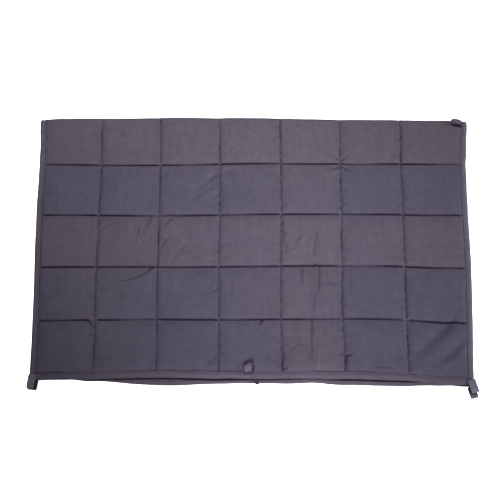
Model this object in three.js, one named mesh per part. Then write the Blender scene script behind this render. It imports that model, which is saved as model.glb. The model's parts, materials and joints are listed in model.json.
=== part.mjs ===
// Weighted pet blanket: a bead-filled quilt sewn in squares, with bound edges and tape loops,
// folded once across its middle and laid flat.
// Millimetres, +Z up. X runs along the fold, the two open ends face -Y, and the origin lies on the
// floor under the middle square of the lower layer.
import * as THREE from "three";

// Sewn grid
const COLUMNS = 7; // squares across the width
const SQUARE = 100; // stitch line to stitch line
const WHOLE_ROWS = 3; // whole squares of a layer, between its fold row and its end row
const FOLD_ROW = 97; // the row that runs into the fold
const END_ROW = 97; // the row beside an open end

// Thicknesses
const SQUARE_THICK = 8; // a filled square at its crown
const SEAM_THICK = 2.1; // along the stitch lines and inside the binding
const LAYER_GAP = 1; // between the two layers
const PUFF_REACH = 30; // a square reaches its full thickness this far from its stitch lines
const PUFF_POWER = 2.5; // how quickly it rises beside them
const FULLNESS_SWING = 0.06; // share by which some squares are fuller than others
const FULLNESS_PHASE = { column: 1.7, row: 2.9 }; // how that changes from square to square
const UNDER_REACH = 7; // width of the channel beside a stitch line where the squares lie flat
const UNDER_PRESS = 0.5; // how far the floor flattens a square

// Fold and edges
const FOLD_OFFSET = 2; // the fold lies this far from the middle seam, on the upper layer
const DROOP_REACH = 30; // the edges sink over this width
const UPPER_DROOP = 1.4;
const LOWER_DROOP = 1.2;
const SWAY = 1.2; // how far the stitch lines wander from straight
const SWAY_WAVE = { across: 150, along: 60 };
const END_POWER = 5; // how quickly the unevenness of an open end fades towards the fold

// Binding, a folded strip that takes the quilt's thin rim between its lips
const GAP = 0.3; // between pieces that touch
const BINDING_WIDE = 10.5;
const BINDING_THICK = 5.2;
const BINDING_SOLID = 4.2; // from the outer edge to the bottom of the slot
const STITCH_INSET = 11; // outer edge to the first stitch line
const RIM_INSET = 6; // outer edge to the quilt's rim
// Rounded upper face of the strip, in shares of its width and of half its thickness
const BINDING_FACE = [
  { inset: 0, lift: 0.35 },
  { inset: 0.1, lift: 0.8 },
  { inset: 0.4, lift: 1 },
  { inset: 0.8, lift: 0.92 },
  { inset: 1, lift: 0.72 },
];

// Tape of the loops
const TAPE_WIDE = 12.5;
const TAPE_THICK = 1.2;
const TAPE_STEPS = 24;

// Where the two sides of the blanket lie, from the open ends to the fold
const SIDES = [
  { y: -265, left: -350.5, right: 355.5 },
  { y: -130, left: -350.5, right: 358 },
  { y: 0, left: -351.5, right: 359.5 },
  { y: 150, left: -352, right: 361 },
  { y: 245, left: -355.5, right: 363.5 },
];

// How far the fold and the two open ends lie behind their straight lines, across the width
const ENDS = [
  { x: -352, fold: -1, upper: 0, lower: 9 },
  { x: -250, fold: 0.5, upper: 1, lower: 5.5 },
  { x: -140, fold: 1.5, upper: 4.5, lower: -3 },
  { x: -20, fold: 1, upper: 0.5, lower: 1.5 },
  { x: 90, fold: -1, upper: -0.5, lower: 1.5 },
  { x: 220, fold: -2, upper: -3, lower: -4.5 },
  { x: 355, fold: -4, upper: -10.5, lower: -4 },
];

// Routes of the tape, out from the edge of the cloth and up from its middle
const HANGING_LOOP = [
  { out: -8, up: 4.1 },
  { out: 0, up: 4 },
  { out: 7, up: 3 },
  { out: 12.4, up: 0.8 },
  { out: 14.9, up: -2 },
  { out: 12.6, up: -4.8 },
  { out: 7, up: -5 },
  { out: 0, up: -4.4 },
  { out: -6, up: -4.1 },
];
const lyingLoop = (reach) => [
  { out: 1.1, up: 0.7 },
  { out: 7, up: -0.2 },
  { out: reach - 1, up: -0.3 },
  { out: reach, up: -1.2 },
  { out: reach - 1, up: -2.1 },
  { out: 7, up: -2 },
  { out: 1.1, up: -0.9 },
];
const TURNED_BACK_LOOP = [
  { out: -5.5, up: 4.3 },
  { out: -11, up: 4.4 },
  { out: -18, up: 5.2 },
  { out: -23, up: 6.9 },
  { out: -25.2, up: 9.6 },
  { out: -23, up: 12.6 },
  { out: -18, up: 13.7 },
  { out: -12.5, up: 12.9 },
  { out: -8.5, up: 10.2 },
  { out: -5.5, up: 6 },
];
const SIDE_LOOP = [
  { out: -1.5, up: 4.4 },
  { out: -9, up: 4.7 },
  { out: -16, up: 5.4 },
  { out: -20.5, up: 6.8 },
  { out: -22.8, up: 9.4 },
  { out: -20.5, up: 12.5 },
  { out: -15, up: 13.4 },
  { out: -8.5, up: 12.3 },
  { out: -4.5, up: 9.5 },
  { out: -1.5, up: 6.1 },
];
const PINCHED_LOOP = [
  { out: -11, up: 5.6 },
  { out: -6, up: 5.55 },
  { out: 1.2, up: 5.5 },
  { out: 2, up: 4.7 },
  { out: 1.2, up: 3.9 },
  { out: -6, up: 3.95 },
  { out: -11, up: 4 },
];

// Finishes
const QUILT_CLOTH = { color: 0x5b5664, roughness: 0.82, metalness: 0 };
const BINDING_CLOTH = { color: 0x57525f, roughness: 0.8, metalness: 0 };
const LOOP_TAPE = { color: 0x504b59, roughness: 0.86, metalness: 0 };

// Worked out from the sizes above
const LOWER_Z = SQUARE_THICK / 2;
const UPPER_Z = LOWER_Z + SQUARE_THICK + LAYER_GAP;
const FOLD_RADIUS = (UPPER_Z - LOWER_Z) / 2;
const QUARTER_TURN = (Math.PI / 2) * FOLD_RADIUS;
const UPPER_BEND = QUARTER_TURN + FOLD_OFFSET;
const LOWER_BEND = QUARTER_TURN - FOLD_OFFSET;
const SEAM_RUNS = seamRuns();
const HALF_LENGTH = SEAM_RUNS.at(-1) + STITCH_INSET;
const FIRST_SEAM_Y = 1.5 * SQUARE;
const FOLD_Y = FIRST_SEAM_Y + FOLD_ROW - UPPER_BEND;

// Places of the points within a square, as shares of its side
const CROWN_STEPS = [0, 0.07, 0.28, 0.72, 0.93];
const UNDER_STEPS = [0, 0.08, 0.92];
const INNER_STEPS = [0, 0.25, 0.75];
const BEND_STEPS = { upper: 4, lower: 2 };

const { lerp, clamp, smoothstep } = THREE.MathUtils;

// Distances of the stitch lines from the middle seam, along the cloth
function seamRuns() {
  const runs = [0, FOLD_ROW];
  for (let row = 0; row < WHOLE_ROWS; row++) {
    runs.push(runs.at(-1) + SQUARE);
  }
  runs.push(runs.at(-1) + END_ROW);
  return runs;
}

// Value of one column of a table at a place between its rows, eased from row to row
function readTable(table, key, column, at) {
  const place = clamp(at, table[0][key], table.at(-1)[key]);
  const next = Math.max(1, table.findIndex((row) => row[key] >= place));
  const [before, after] = [table[next - 1], table[next]];
  return lerp(before[column], after[column], smoothstep(place, before[key], after[key]));
}

// Level place along Y of a run along the cloth, before the open ends wander
function levelY(run) {
  return FOLD_Y - Math.max(0, Math.abs(run + FOLD_OFFSET) - QUARTER_TURN);
}

function sideX(side, run) {
  return readTable(SIDES, "y", side, levelY(run));
}

// Point on the middle of the cloth and the direction out of its outer face.
// The run is measured along the cloth from the middle seam, negative on the upper layer.
function clothAt(x, run) {
  const angle = clamp((run + FOLD_OFFSET) / FOLD_RADIUS, -Math.PI / 2, Math.PI / 2);
  const layer = run < 0 ? "upper" : "lower";
  const toEdge = Math.min(x - sideX("left", run), sideX("right", run) - x, HALF_LENGTH - Math.abs(run));
  const sink = (1 - clamp(toEdge / DROOP_REACH, 0, 1)) ** 2;
  const upperZ = UPPER_Z - UPPER_DROOP * sink;
  const lowerZ = LOWER_Z - LOWER_DROOP * sink;
  const radius = (upperZ - lowerZ) / 2;
  const endShare = (Math.abs(run) / HALF_LENGTH) ** END_POWER;
  const foldShare = 1 - clamp(Math.abs(run) / FOLD_ROW, 0, 1);
  const wander = readTable(ENDS, "x", layer, x) * endShare + readTable(ENDS, "x", "fold", x) * foldShare;
  const level = levelY(run);
  const swayX = SWAY * Math.sin(level / SWAY_WAVE.along + x / SWAY_WAVE.across);
  const swayY = SWAY * Math.sin(x / SWAY_WAVE.along + level / SWAY_WAVE.across);
  return {
    point: new THREE.Vector3(
      x + swayX,
      level + radius * Math.cos(angle) + wander + swayY,
      (upperZ + lowerZ) / 2 - radius * Math.sin(angle),
    ),
    outward: new THREE.Vector3(0, Math.cos(angle), -Math.sin(angle)),
  };
}

// X of a place counted in columns; below 0 and above COLUMNS it crosses the thin rim
function columnX(column, run) {
  const rim = STITCH_INSET - RIM_INSET;
  const seams = [sideX("left", run) + STITCH_INSET];
  for (let seam = 1; seam < COLUMNS; seam++) {
    seams.push((seam - COLUMNS / 2) * SQUARE);
  }
  seams.push(sideX("right", run) - STITCH_INSET);
  if (column < 0) return seams[0] + column * rim;
  if (column > COLUMNS) return seams[COLUMNS] + (column - COLUMNS) * rim;
  const first = Math.min(Math.floor(column), COLUMNS - 1);
  return lerp(seams[first], seams[first + 1], column - first);
}

// Half the cloth's thickness: thin along the stitch lines, full inside the squares
function halfThickness(column, run, face) {
  const thin = SEAM_THICK / 2;
  const distance = Math.abs(run);
  const row = SEAM_RUNS.findIndex((seam) => seam > distance);
  if (column < 0 || column > COLUMNS || row < 0) return thin;
  const across = Math.abs(column - Math.round(column)) * SQUARE;
  const along = Math.min(distance - SEAM_RUNS[row - 1], SEAM_RUNS[row] - distance);
  if (face === "under") {
    const flat = Math.min(across / UNDER_REACH, along / UNDER_REACH, 1);
    return lerp(thin, SQUARE_THICK / 2 + UNDER_PRESS, flat);
  }
  const rise = (reach) => 1 - (1 - clamp(reach / PUFF_REACH, 0, 1)) ** PUFF_POWER;
  const phase = FULLNESS_PHASE.column * Math.floor(column) + FULLNESS_PHASE.row * row;
  const swing = face === "crown" ? FULLNESS_SWING * Math.sin(phase) : 0;
  return lerp(thin, (SQUARE_THICK / 2) * (1 + swing), rise(across) * rise(along));
}

// Point on a face of the quilt; its underside is pressed flat by the floor
function quiltPoint(column, run, face) {
  const { point, outward } = clothAt(columnX(column, run), run);
  const side = face === "inner" ? -1 : 1;
  point.addScaledVector(outward, side * halfThickness(column, run, face));
  point.z = Math.max(0, point.z);
  return point;
}

// Distances from the middle seam at which a face of one layer has points, from its rim to the bend
function layerRuns(steps, bend) {
  const runs = [HALF_LENGTH - RIM_INSET];
  for (let seam = SEAM_RUNS.length - 1; seam > 0; seam--) {
    runs.push(...steps.map((step) => lerp(SEAM_RUNS[seam], SEAM_RUNS[seam - 1], step)));
  }
  return runs.filter((run) => run > bend);
}

// Runs round the fold, from the upper layer to the lower one
function bendRuns() {
  const runs = [];
  for (let step = 0; step <= BEND_STEPS.upper; step++) {
    runs.push(lerp(-UPPER_BEND, 0, step / BEND_STEPS.upper));
  }
  for (let step = 1; step <= BEND_STEPS.lower; step++) {
    runs.push(lerp(0, LOWER_BEND, step / BEND_STEPS.lower));
  }
  return runs;
}

function columnStops() {
  const stops = [];
  for (let column = 0; column < COLUMNS; column++) {
    stops.push(...CROWN_STEPS.map((step) => column + step));
  }
  return [...stops, COLUMNS];
}

const negated = (runs) => runs.map((run) => -run);

// Closed skin over a row of like sections; the two ends are filled with the same triangles
function loft(sections, filling) {
  const count = sections[0].length;
  const index = [];
  for (let section = 0; section + 1 < sections.length; section++) {
    for (let corner = 0; corner < count; corner++) {
      const here = section * count + corner;
      const beside = section * count + ((corner + 1) % count);
      index.push(here, beside, beside + count, here, beside + count, here + count);
    }
  }
  const last = (sections.length - 1) * count;
  for (const [a, b, c] of filling) {
    index.push(a, c, b, last + a, last + b, last + c);
  }
  const geometry = new THREE.BufferGeometry().setFromPoints(sections.flat());
  geometry.setIndex(index);
  geometry.computeVertexNormals();
  return geometry;
}

// Triangles that fill a flat outline, turning the way the outline does
function fillOutline(outline) {
  const turn = Math.sign(THREE.ShapeUtils.area(outline));
  return THREE.ShapeUtils.triangulateShape([...outline], []).map(([a, b, c]) => {
    const same = Math.sign(THREE.ShapeUtils.area([outline[a], outline[b], outline[c]])) === turn;
    return same ? [a, b, c] : [a, c, b];
  });
}

// Triangles that fill a long folded section, zipped between its outer and inner faces
function zipFaces(outer, inner) {
  const last = outer.length + inner.length - 1;
  const triangles = [];
  let out = 0;
  let back = 0;
  while (out < outer.length - 1 || back < inner.length - 1) {
    const outerNext = outer[out + 1] ?? Infinity;
    const innerNext = inner[back + 1] ?? Infinity;
    if (outerNext <= innerNext) {
      triangles.push([out, out + 1, last - back]);
      out += 1;
    } else {
      triangles.push([last - back - 1, last - back, out]);
      back += 1;
    }
  }
  return triangles;
}

// The quilt: one back-and-forth section of the cloth at each stop across the width
function quiltGeometry() {
  const crown = [...negated(layerRuns(CROWN_STEPS, UPPER_BEND)), ...bendRuns()];
  const under = layerRuns(UNDER_STEPS, LOWER_BEND).reverse();
  const inner = [
    ...negated(layerRuns(INNER_STEPS, UPPER_BEND)),
    ...bendRuns(),
    ...layerRuns(INNER_STEPS, LOWER_BEND).reverse(),
  ];
  const sections = [-1, ...columnStops(), COLUMNS + 1].map((column) => [
    ...crown.map((run) => quiltPoint(column, run, "crown")),
    ...under.map((run) => quiltPoint(column, run, "under")),
    ...inner.map((run) => quiltPoint(column, run, "inner")).reverse(),
  ]);
  return loft(sections.reverse(), zipFaces([...crown, ...under], inner));
}

// Section of the binding: inset from its outer edge and lift from the middle of the cloth
function bindingSection() {
  const slot = SEAM_THICK / 2 + GAP;
  const face = BINDING_FACE.map(({ inset, lift }) => ({
    inset: inset * BINDING_WIDE,
    lift: (lift * BINDING_THICK) / 2,
  }));
  const upperHalf = [...face, { inset: BINDING_WIDE, lift: slot }, { inset: BINDING_SOLID, lift: slot }];
  const lowerHalf = upperHalf.map(({ inset, lift }) => ({ inset, lift: -lift })).reverse();
  return [...upperHalf, ...lowerHalf];
}

function bindingFilling() {
  return fillOutline(bindingSection().map(({ inset, lift }) => new THREE.Vector2(inset, lift)));
}

function bindingPoint(x, run, lift) {
  const { point, outward } = clothAt(x, run);
  return point.addScaledVector(outward, lift);
}

// Binding along one side, from the upper open end round the fold to the lower one
function sideBindingGeometry(side) {
  const inward = side === "left" ? 1 : -1;
  const upper = negated(layerRuns(CROWN_STEPS, UPPER_BEND));
  const lower = layerRuns(UNDER_STEPS, LOWER_BEND).reverse();
  const runs = [-HALF_LENGTH, ...upper, ...bendRuns(), ...lower, HALF_LENGTH];
  const sections = runs.map((run) =>
    bindingSection().map(({ inset, lift }) => bindingPoint(sideX(side, run) + inward * inset, run, lift)),
  );
  return loft(side === "left" ? sections : sections.reverse(), bindingFilling());
}

// Binding of one open end, between the two side bindings
function endBindingGeometry(layer) {
  const edge = layer === "upper" ? -HALF_LENGTH : HALF_LENGTH;
  const inward = -Math.sign(edge);
  const first = sideX("left", edge) + BINDING_WIDE + GAP;
  const last = sideX("right", edge) - BINDING_WIDE - GAP;
  const middle = columnStops().slice(1, -1).map((column) => columnX(column, edge));
  const sections = [first, ...middle, last].map((x) =>
    bindingSection().map(({ inset, lift }) => bindingPoint(x, edge + inward * inset, lift)),
  );
  return loft(layer === "upper" ? sections.reverse() : sections, bindingFilling());
}

// A band of tape that follows a route in its own upright plane
function tapeGeometry(route) {
  const middle = new THREE.SplineCurve(route.map(({ out, up }) => new THREE.Vector2(out, up)));
  const faces = { over: [], below: [] };
  for (let step = 0; step <= TAPE_STEPS; step++) {
    const point = middle.getPoint(step / TAPE_STEPS);
    const tangent = middle.getTangent(step / TAPE_STEPS);
    const half = new THREE.Vector2(-tangent.y, tangent.x).multiplyScalar(TAPE_THICK / 2);
    faces.over.push(point.clone().add(half));
    faces.below.push(point.clone().sub(half));
  }
  const band = new THREE.Shape([...faces.over, ...faces.below.reverse()]);
  const geometry = new THREE.ExtrudeGeometry(band, { depth: TAPE_WIDE, bevelEnabled: false });
  geometry.translate(0, 0, -TAPE_WIDE / 2);
  geometry.rotateX(Math.PI / 2);
  return geometry;
}

// Loops: where each is sewn to the edge, the way it points in plan and its route
const LOOPS = [
  { name: "loop_front_left_upper", x: -345.5, run: -HALF_LENGTH, heading: -99, route: HANGING_LOOP },
  { name: "loop_front_left_lower", x: -342, run: HALF_LENGTH, heading: -97, route: lyingLoop(14) },
  { name: "loop_front_right_upper", x: 352.5, run: -HALF_LENGTH, heading: -80, route: HANGING_LOOP },
  { name: "loop_front_right_lower", x: 352, run: HALF_LENGTH, heading: -79, route: lyingLoop(20) },
  { name: "loop_front_centre_upper", x: -1, run: -HALF_LENGTH, heading: -77, route: TURNED_BACK_LOOP },
  { name: "loop_front_centre_lower", x: 6, run: HALF_LENGTH, heading: -64, route: PINCHED_LOOP },
  { name: "loop_back_right", x: 362, run: -17, heading: 0, route: SIDE_LOOP },
];

const blanket = new THREE.Group();

function addPiece(name, geometry, finish) {
  const piece = new THREE.Mesh(geometry, new THREE.MeshStandardMaterial(finish));
  piece.name = name;
  blanket.add(piece);
  return piece;
}

addPiece("quilt", quiltGeometry(), QUILT_CLOTH);
addPiece("binding_left", sideBindingGeometry("left"), BINDING_CLOTH);
addPiece("binding_right", sideBindingGeometry("right"), BINDING_CLOTH);
addPiece("binding_front_upper", endBindingGeometry("upper"), BINDING_CLOTH);
addPiece("binding_front_lower", endBindingGeometry("lower"), BINDING_CLOTH);

for (const { name, x, run, heading, route } of LOOPS) {
  const loop = addPiece(name, tapeGeometry(route), LOOP_TAPE);
  loop.position.copy(clothAt(x, run).point);
  loop.rotation.z = THREE.MathUtils.degToRad(heading);
}

export default blanket;
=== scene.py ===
"""Looks of a weighted pet blanket: a bead-filled quilt sewn in squares, folded once and laid flat.

Metres, +Z up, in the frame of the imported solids. X runs along the fold, and the open ends face -Y.
A run is a distance along the cloth from its middle seam, negative on the upper layer.
"""

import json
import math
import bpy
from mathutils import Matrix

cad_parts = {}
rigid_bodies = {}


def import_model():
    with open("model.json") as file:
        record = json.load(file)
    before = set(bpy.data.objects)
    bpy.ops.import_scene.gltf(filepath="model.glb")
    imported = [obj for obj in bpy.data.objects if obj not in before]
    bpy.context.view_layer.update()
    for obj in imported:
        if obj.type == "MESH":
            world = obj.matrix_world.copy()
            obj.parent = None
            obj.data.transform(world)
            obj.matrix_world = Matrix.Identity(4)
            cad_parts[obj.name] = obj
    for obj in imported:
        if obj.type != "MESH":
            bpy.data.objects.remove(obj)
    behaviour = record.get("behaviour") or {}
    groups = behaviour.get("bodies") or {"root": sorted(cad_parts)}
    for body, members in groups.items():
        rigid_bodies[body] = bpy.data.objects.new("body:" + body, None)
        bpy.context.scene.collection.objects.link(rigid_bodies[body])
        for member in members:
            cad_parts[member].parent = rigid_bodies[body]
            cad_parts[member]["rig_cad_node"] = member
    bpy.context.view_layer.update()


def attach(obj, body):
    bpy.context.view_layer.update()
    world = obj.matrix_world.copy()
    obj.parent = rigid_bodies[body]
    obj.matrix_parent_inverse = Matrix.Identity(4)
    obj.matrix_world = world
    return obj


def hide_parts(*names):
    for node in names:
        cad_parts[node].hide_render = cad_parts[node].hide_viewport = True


bl_info = {
    "name": "Weighted Pet Blanket",
    "version": (1, 0, 0),
    "blender": (4, 5, 0),
    "location": "3D View > Sidebar > Blanket",
    "description": "Sews a folded, bead-filled pet blanket around its packed solids",
    "category": "Add Mesh",
}

from collections import namedtuple

import bpy
import numpy as np
from mathutils import Matrix, Vector

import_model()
IMAGE_SIDE = 500

# Sewn grid
COLUMNS = 7
WHOLE_ROWS = 3
SHORT_ROW = 0.097  # the row beside the fold, and the row beside an open end
PUFF_REACH = 0.030
PUFF_POWER = 2.5
FULLNESS_SWING = 0.06
FULLNESS_PHASE = {"column": 1.7, "row": 2.9}
UNDER_REACH = 0.007
UNDER_PRESS = 0.0005
LAYER_GAP = 0.001

# Seeded unevenness: its size, one swell to the next along the cloth, the seed of its draw, and how far
# apart neighbouring stitch lines draw from it. A binding's own seed takes the place of None.
Waver = namedtuple("Waver", "size wave seed apart", defaults=[0.0])
SEAM_SWING = Waver(0.0003, 0.055, 9, 0.37)
SEAM_WOBBLE = Waver(0.0006, 0.011, 10, 0.53)
COLUMN_GATHERS = Waver(1.0, 0.008, 5)
ROW_GATHERS = Waver(0.12, 0.009, 6)
SQUARE_SLUMP = Waver(1.0, 0.042, 7)
BROAD_SLUMP = Waver(1.0, 0.16, 8)
FIRST_RISE = Waver(0.5, 0.03, 3)
ROW_BREAKS = Waver(0.5, 0.090, 11, 3.0)
COLUMN_BREAKS = Waver(0.75, 0.060, 13, 0.61)
COLUMN_SPECKS = Waver(0.5, 0.010, 12, 0.43)
SWELLS = 10  # waves in one draw
SWELL_RANGE = (0.7, 1.6)  # their lengths, as shares of the waver's own

# Gathers beside the stitch lines
SQUARE_APART = {"column": 0.31, "row": 0.17}  # how far apart neighbouring squares draw
GATHER_FADE = 0.005
GATHER_STRETCH = 0.4  # how slowly they change away from the line

# Fold and edges
FOLD_OFFSET = 0.002
DROOP_REACH = 0.030
UPPER_DROOP = 0.0014
LOWER_DROOP = 0.0012
END_DROOP = 0.0026  # how much further the upper open end sinks, onto the lower one
SWAY = 0.0012
SWAY_WAVE = {"across": 0.150, "along": 0.060}
END_POWER = 3
MIDDLE_REACH = 0.08
STITCH_INSET = 0.011
SIDE_INSET = 0.009
RIM_INSET = 0.006
SLOT_GAP = 0.0003
BINDING_SOLID = 0.0042

# Section of the binding, in shares of its width from the outer edge
BINDING_SHARES = [
    0, 0.01, 0.04, 0.09, 0.15, 0.25, 0.36, 0.46, 0.55, 0.61, 0.65, 0.69, 0.75, 0.84, 0.93, 1,
]
BINDING_STITCH = 0.69
BINDING_CROWN = 0.4
BINDING_ROUND = 0.45
BINDING_FALL = 0.14  # how much thinner it is at its inner edge
STITCH_DENT = 0.00035
STITCH_DENT_REACH = 0.05
BINDING_CLEAR = 0.0001  # over the floor
BINDING_SEEDS = {"left": 21, "right": 31, "upper": 41, "lower": 51}  # first of four for each
BINDING_RIPPLE = Waver(0.00022, 0.009, None)
BINDING_ROLL = Waver(0.00028, 0.045, None)
SIDE_EDGE = Waver(0.0002, 0.05, None)
END_EDGE = Waver(0.0005, 0.06, None)
LINE_BREAKS = Waver(0.7, 0.014, None)
RIPPLE_FADE = 0.0030
RIPPLE_STRETCH = 0.8
BINDING_EDGE_REACH = 0.006
BINDING_STEP = 0.003
END_STEPS = 240

# Painted shade of the binding: in its stitch line, along its inner edge, on its rim and on the face that
# doesn't show
LINE_WIDE = 0.055
LINE_EVEN = 0.6
LINE_LEAST = 0.1
LIP_WIDE = 0.09
LIP_EVEN = 1.25
RIM_WIDE = 0.2
HIDDEN_DARK = 0.9
SIDE_LINE_DARK = 0.50
SIDE_RIM_DARK = 0.1
# how far each side binding goes to its lighter tone: painted light
SIDE_PAINTED_LIGHT = {"left": 0.25, "right": 0.85}
END_LINE_DARK = 0.80
END_RIM_DARK = 0.35
END_MOST_DARK = 0.95

# X of the two sides, along Y
SideRow = namedtuple("SideRow", "y left right")
SIDES = [
    SideRow(-0.265, -0.3496, 0.3555),
    SideRow(-0.130, -0.3511, 0.3576),
    SideRow(0.000, -0.3515, 0.3585),
    SideRow(0.150, -0.3520, 0.3604),
    SideRow(0.178, -0.3530, 0.3621),
    SideRow(0.245, -0.3555, 0.3645),
]

# How far the fold, the rows and the two open ends stray along Y
EndRow = namedtuple("EndRow", "x fold middle upper lower")
ENDS = [
    EndRow(-0.352, -0.0030, -0.0030, 0.0000, 0.0090),
    EndRow(-0.290, -0.0008, -0.0034, 0.0007, 0.0088),
    EndRow(-0.250, 0.0004, -0.0036, 0.0010, 0.0042),
    EndRow(-0.140, 0.0018, -0.0026, 0.0028, -0.0041),
    EndRow(-0.045, -0.0011, -0.0019, 0.0026, 0.0002),
    EndRow(-0.012, -0.0016, -0.0018, 0.0026, 0.0028),
    EndRow(0.018, -0.0018, -0.0020, 0.0024, 0.0010),
    EndRow(0.090, -0.0026, -0.0024, 0.0017, 0.0011),
    EndRow(0.156, -0.0032, -0.0016, -0.0003, -0.0039),
    EndRow(0.220, -0.0038, -0.0008, -0.0022, -0.0057),
    EndRow(0.318, -0.0076, -0.0026, -0.0090, -0.0036),
    EndRow(0.340, -0.0083, -0.0029, -0.0102, -0.0050),
    EndRow(0.355, -0.0085, -0.0030, -0.0105, -0.0050),
]

# How far the stitch lines along Y stray along X
SeamRow = namedtuple("SeamRow", "y first second third fourth fifth sixth")
SEAMS = [
    SeamRow(-0.20, -0.0005, -0.0006, -0.0010, -0.0003, 0.0004, 0.0024),
    SeamRow(-0.10, -0.0015, -0.0010, 0.0004, 0.0005, -0.0014, 0.0003),
    SeamRow(0.00, 0.0009, 0.0006, -0.0011, -0.0007, -0.0021, -0.0010),
    SeamRow(0.10, 0.0010, -0.0010, -0.0019, -0.0004, -0.0017, 0.0006),
    SeamRow(0.20, -0.0008, -0.0018, -0.0020, 0.0004, 0.0006, 0.0021),
]

# A short stretch of the upper end whose stitch line has more painted shade
DARK_STRETCH = {"x": -0.105, "half": 0.02, "more": 0.4}

# How far the painted shadow under the upper open end reaches over the lower one
COVER_SOFT = 0.0012
Cover = namedtuple("Cover", "x reach")
COVERS = [
    Cover(-0.300, -0.0030),
    Cover(-0.230, 0.0000),
    Cover(-0.205, 0.0016),
    Cover(-0.140, 0.0012),
    Cover(-0.060, 0.0028),
    Cover(0.020, 0.0011),
    Cover(0.075, -0.0003),
    Cover(0.120, -0.0005),
    Cover(0.155, 0.0017),
    Cover(0.215, 0.0026),
    Cover(0.245, 0.0018),
    Cover(0.278, -0.0018),
    Cover(0.325, -0.0018),
    Cover(0.345, 0.0020),
]

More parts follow.
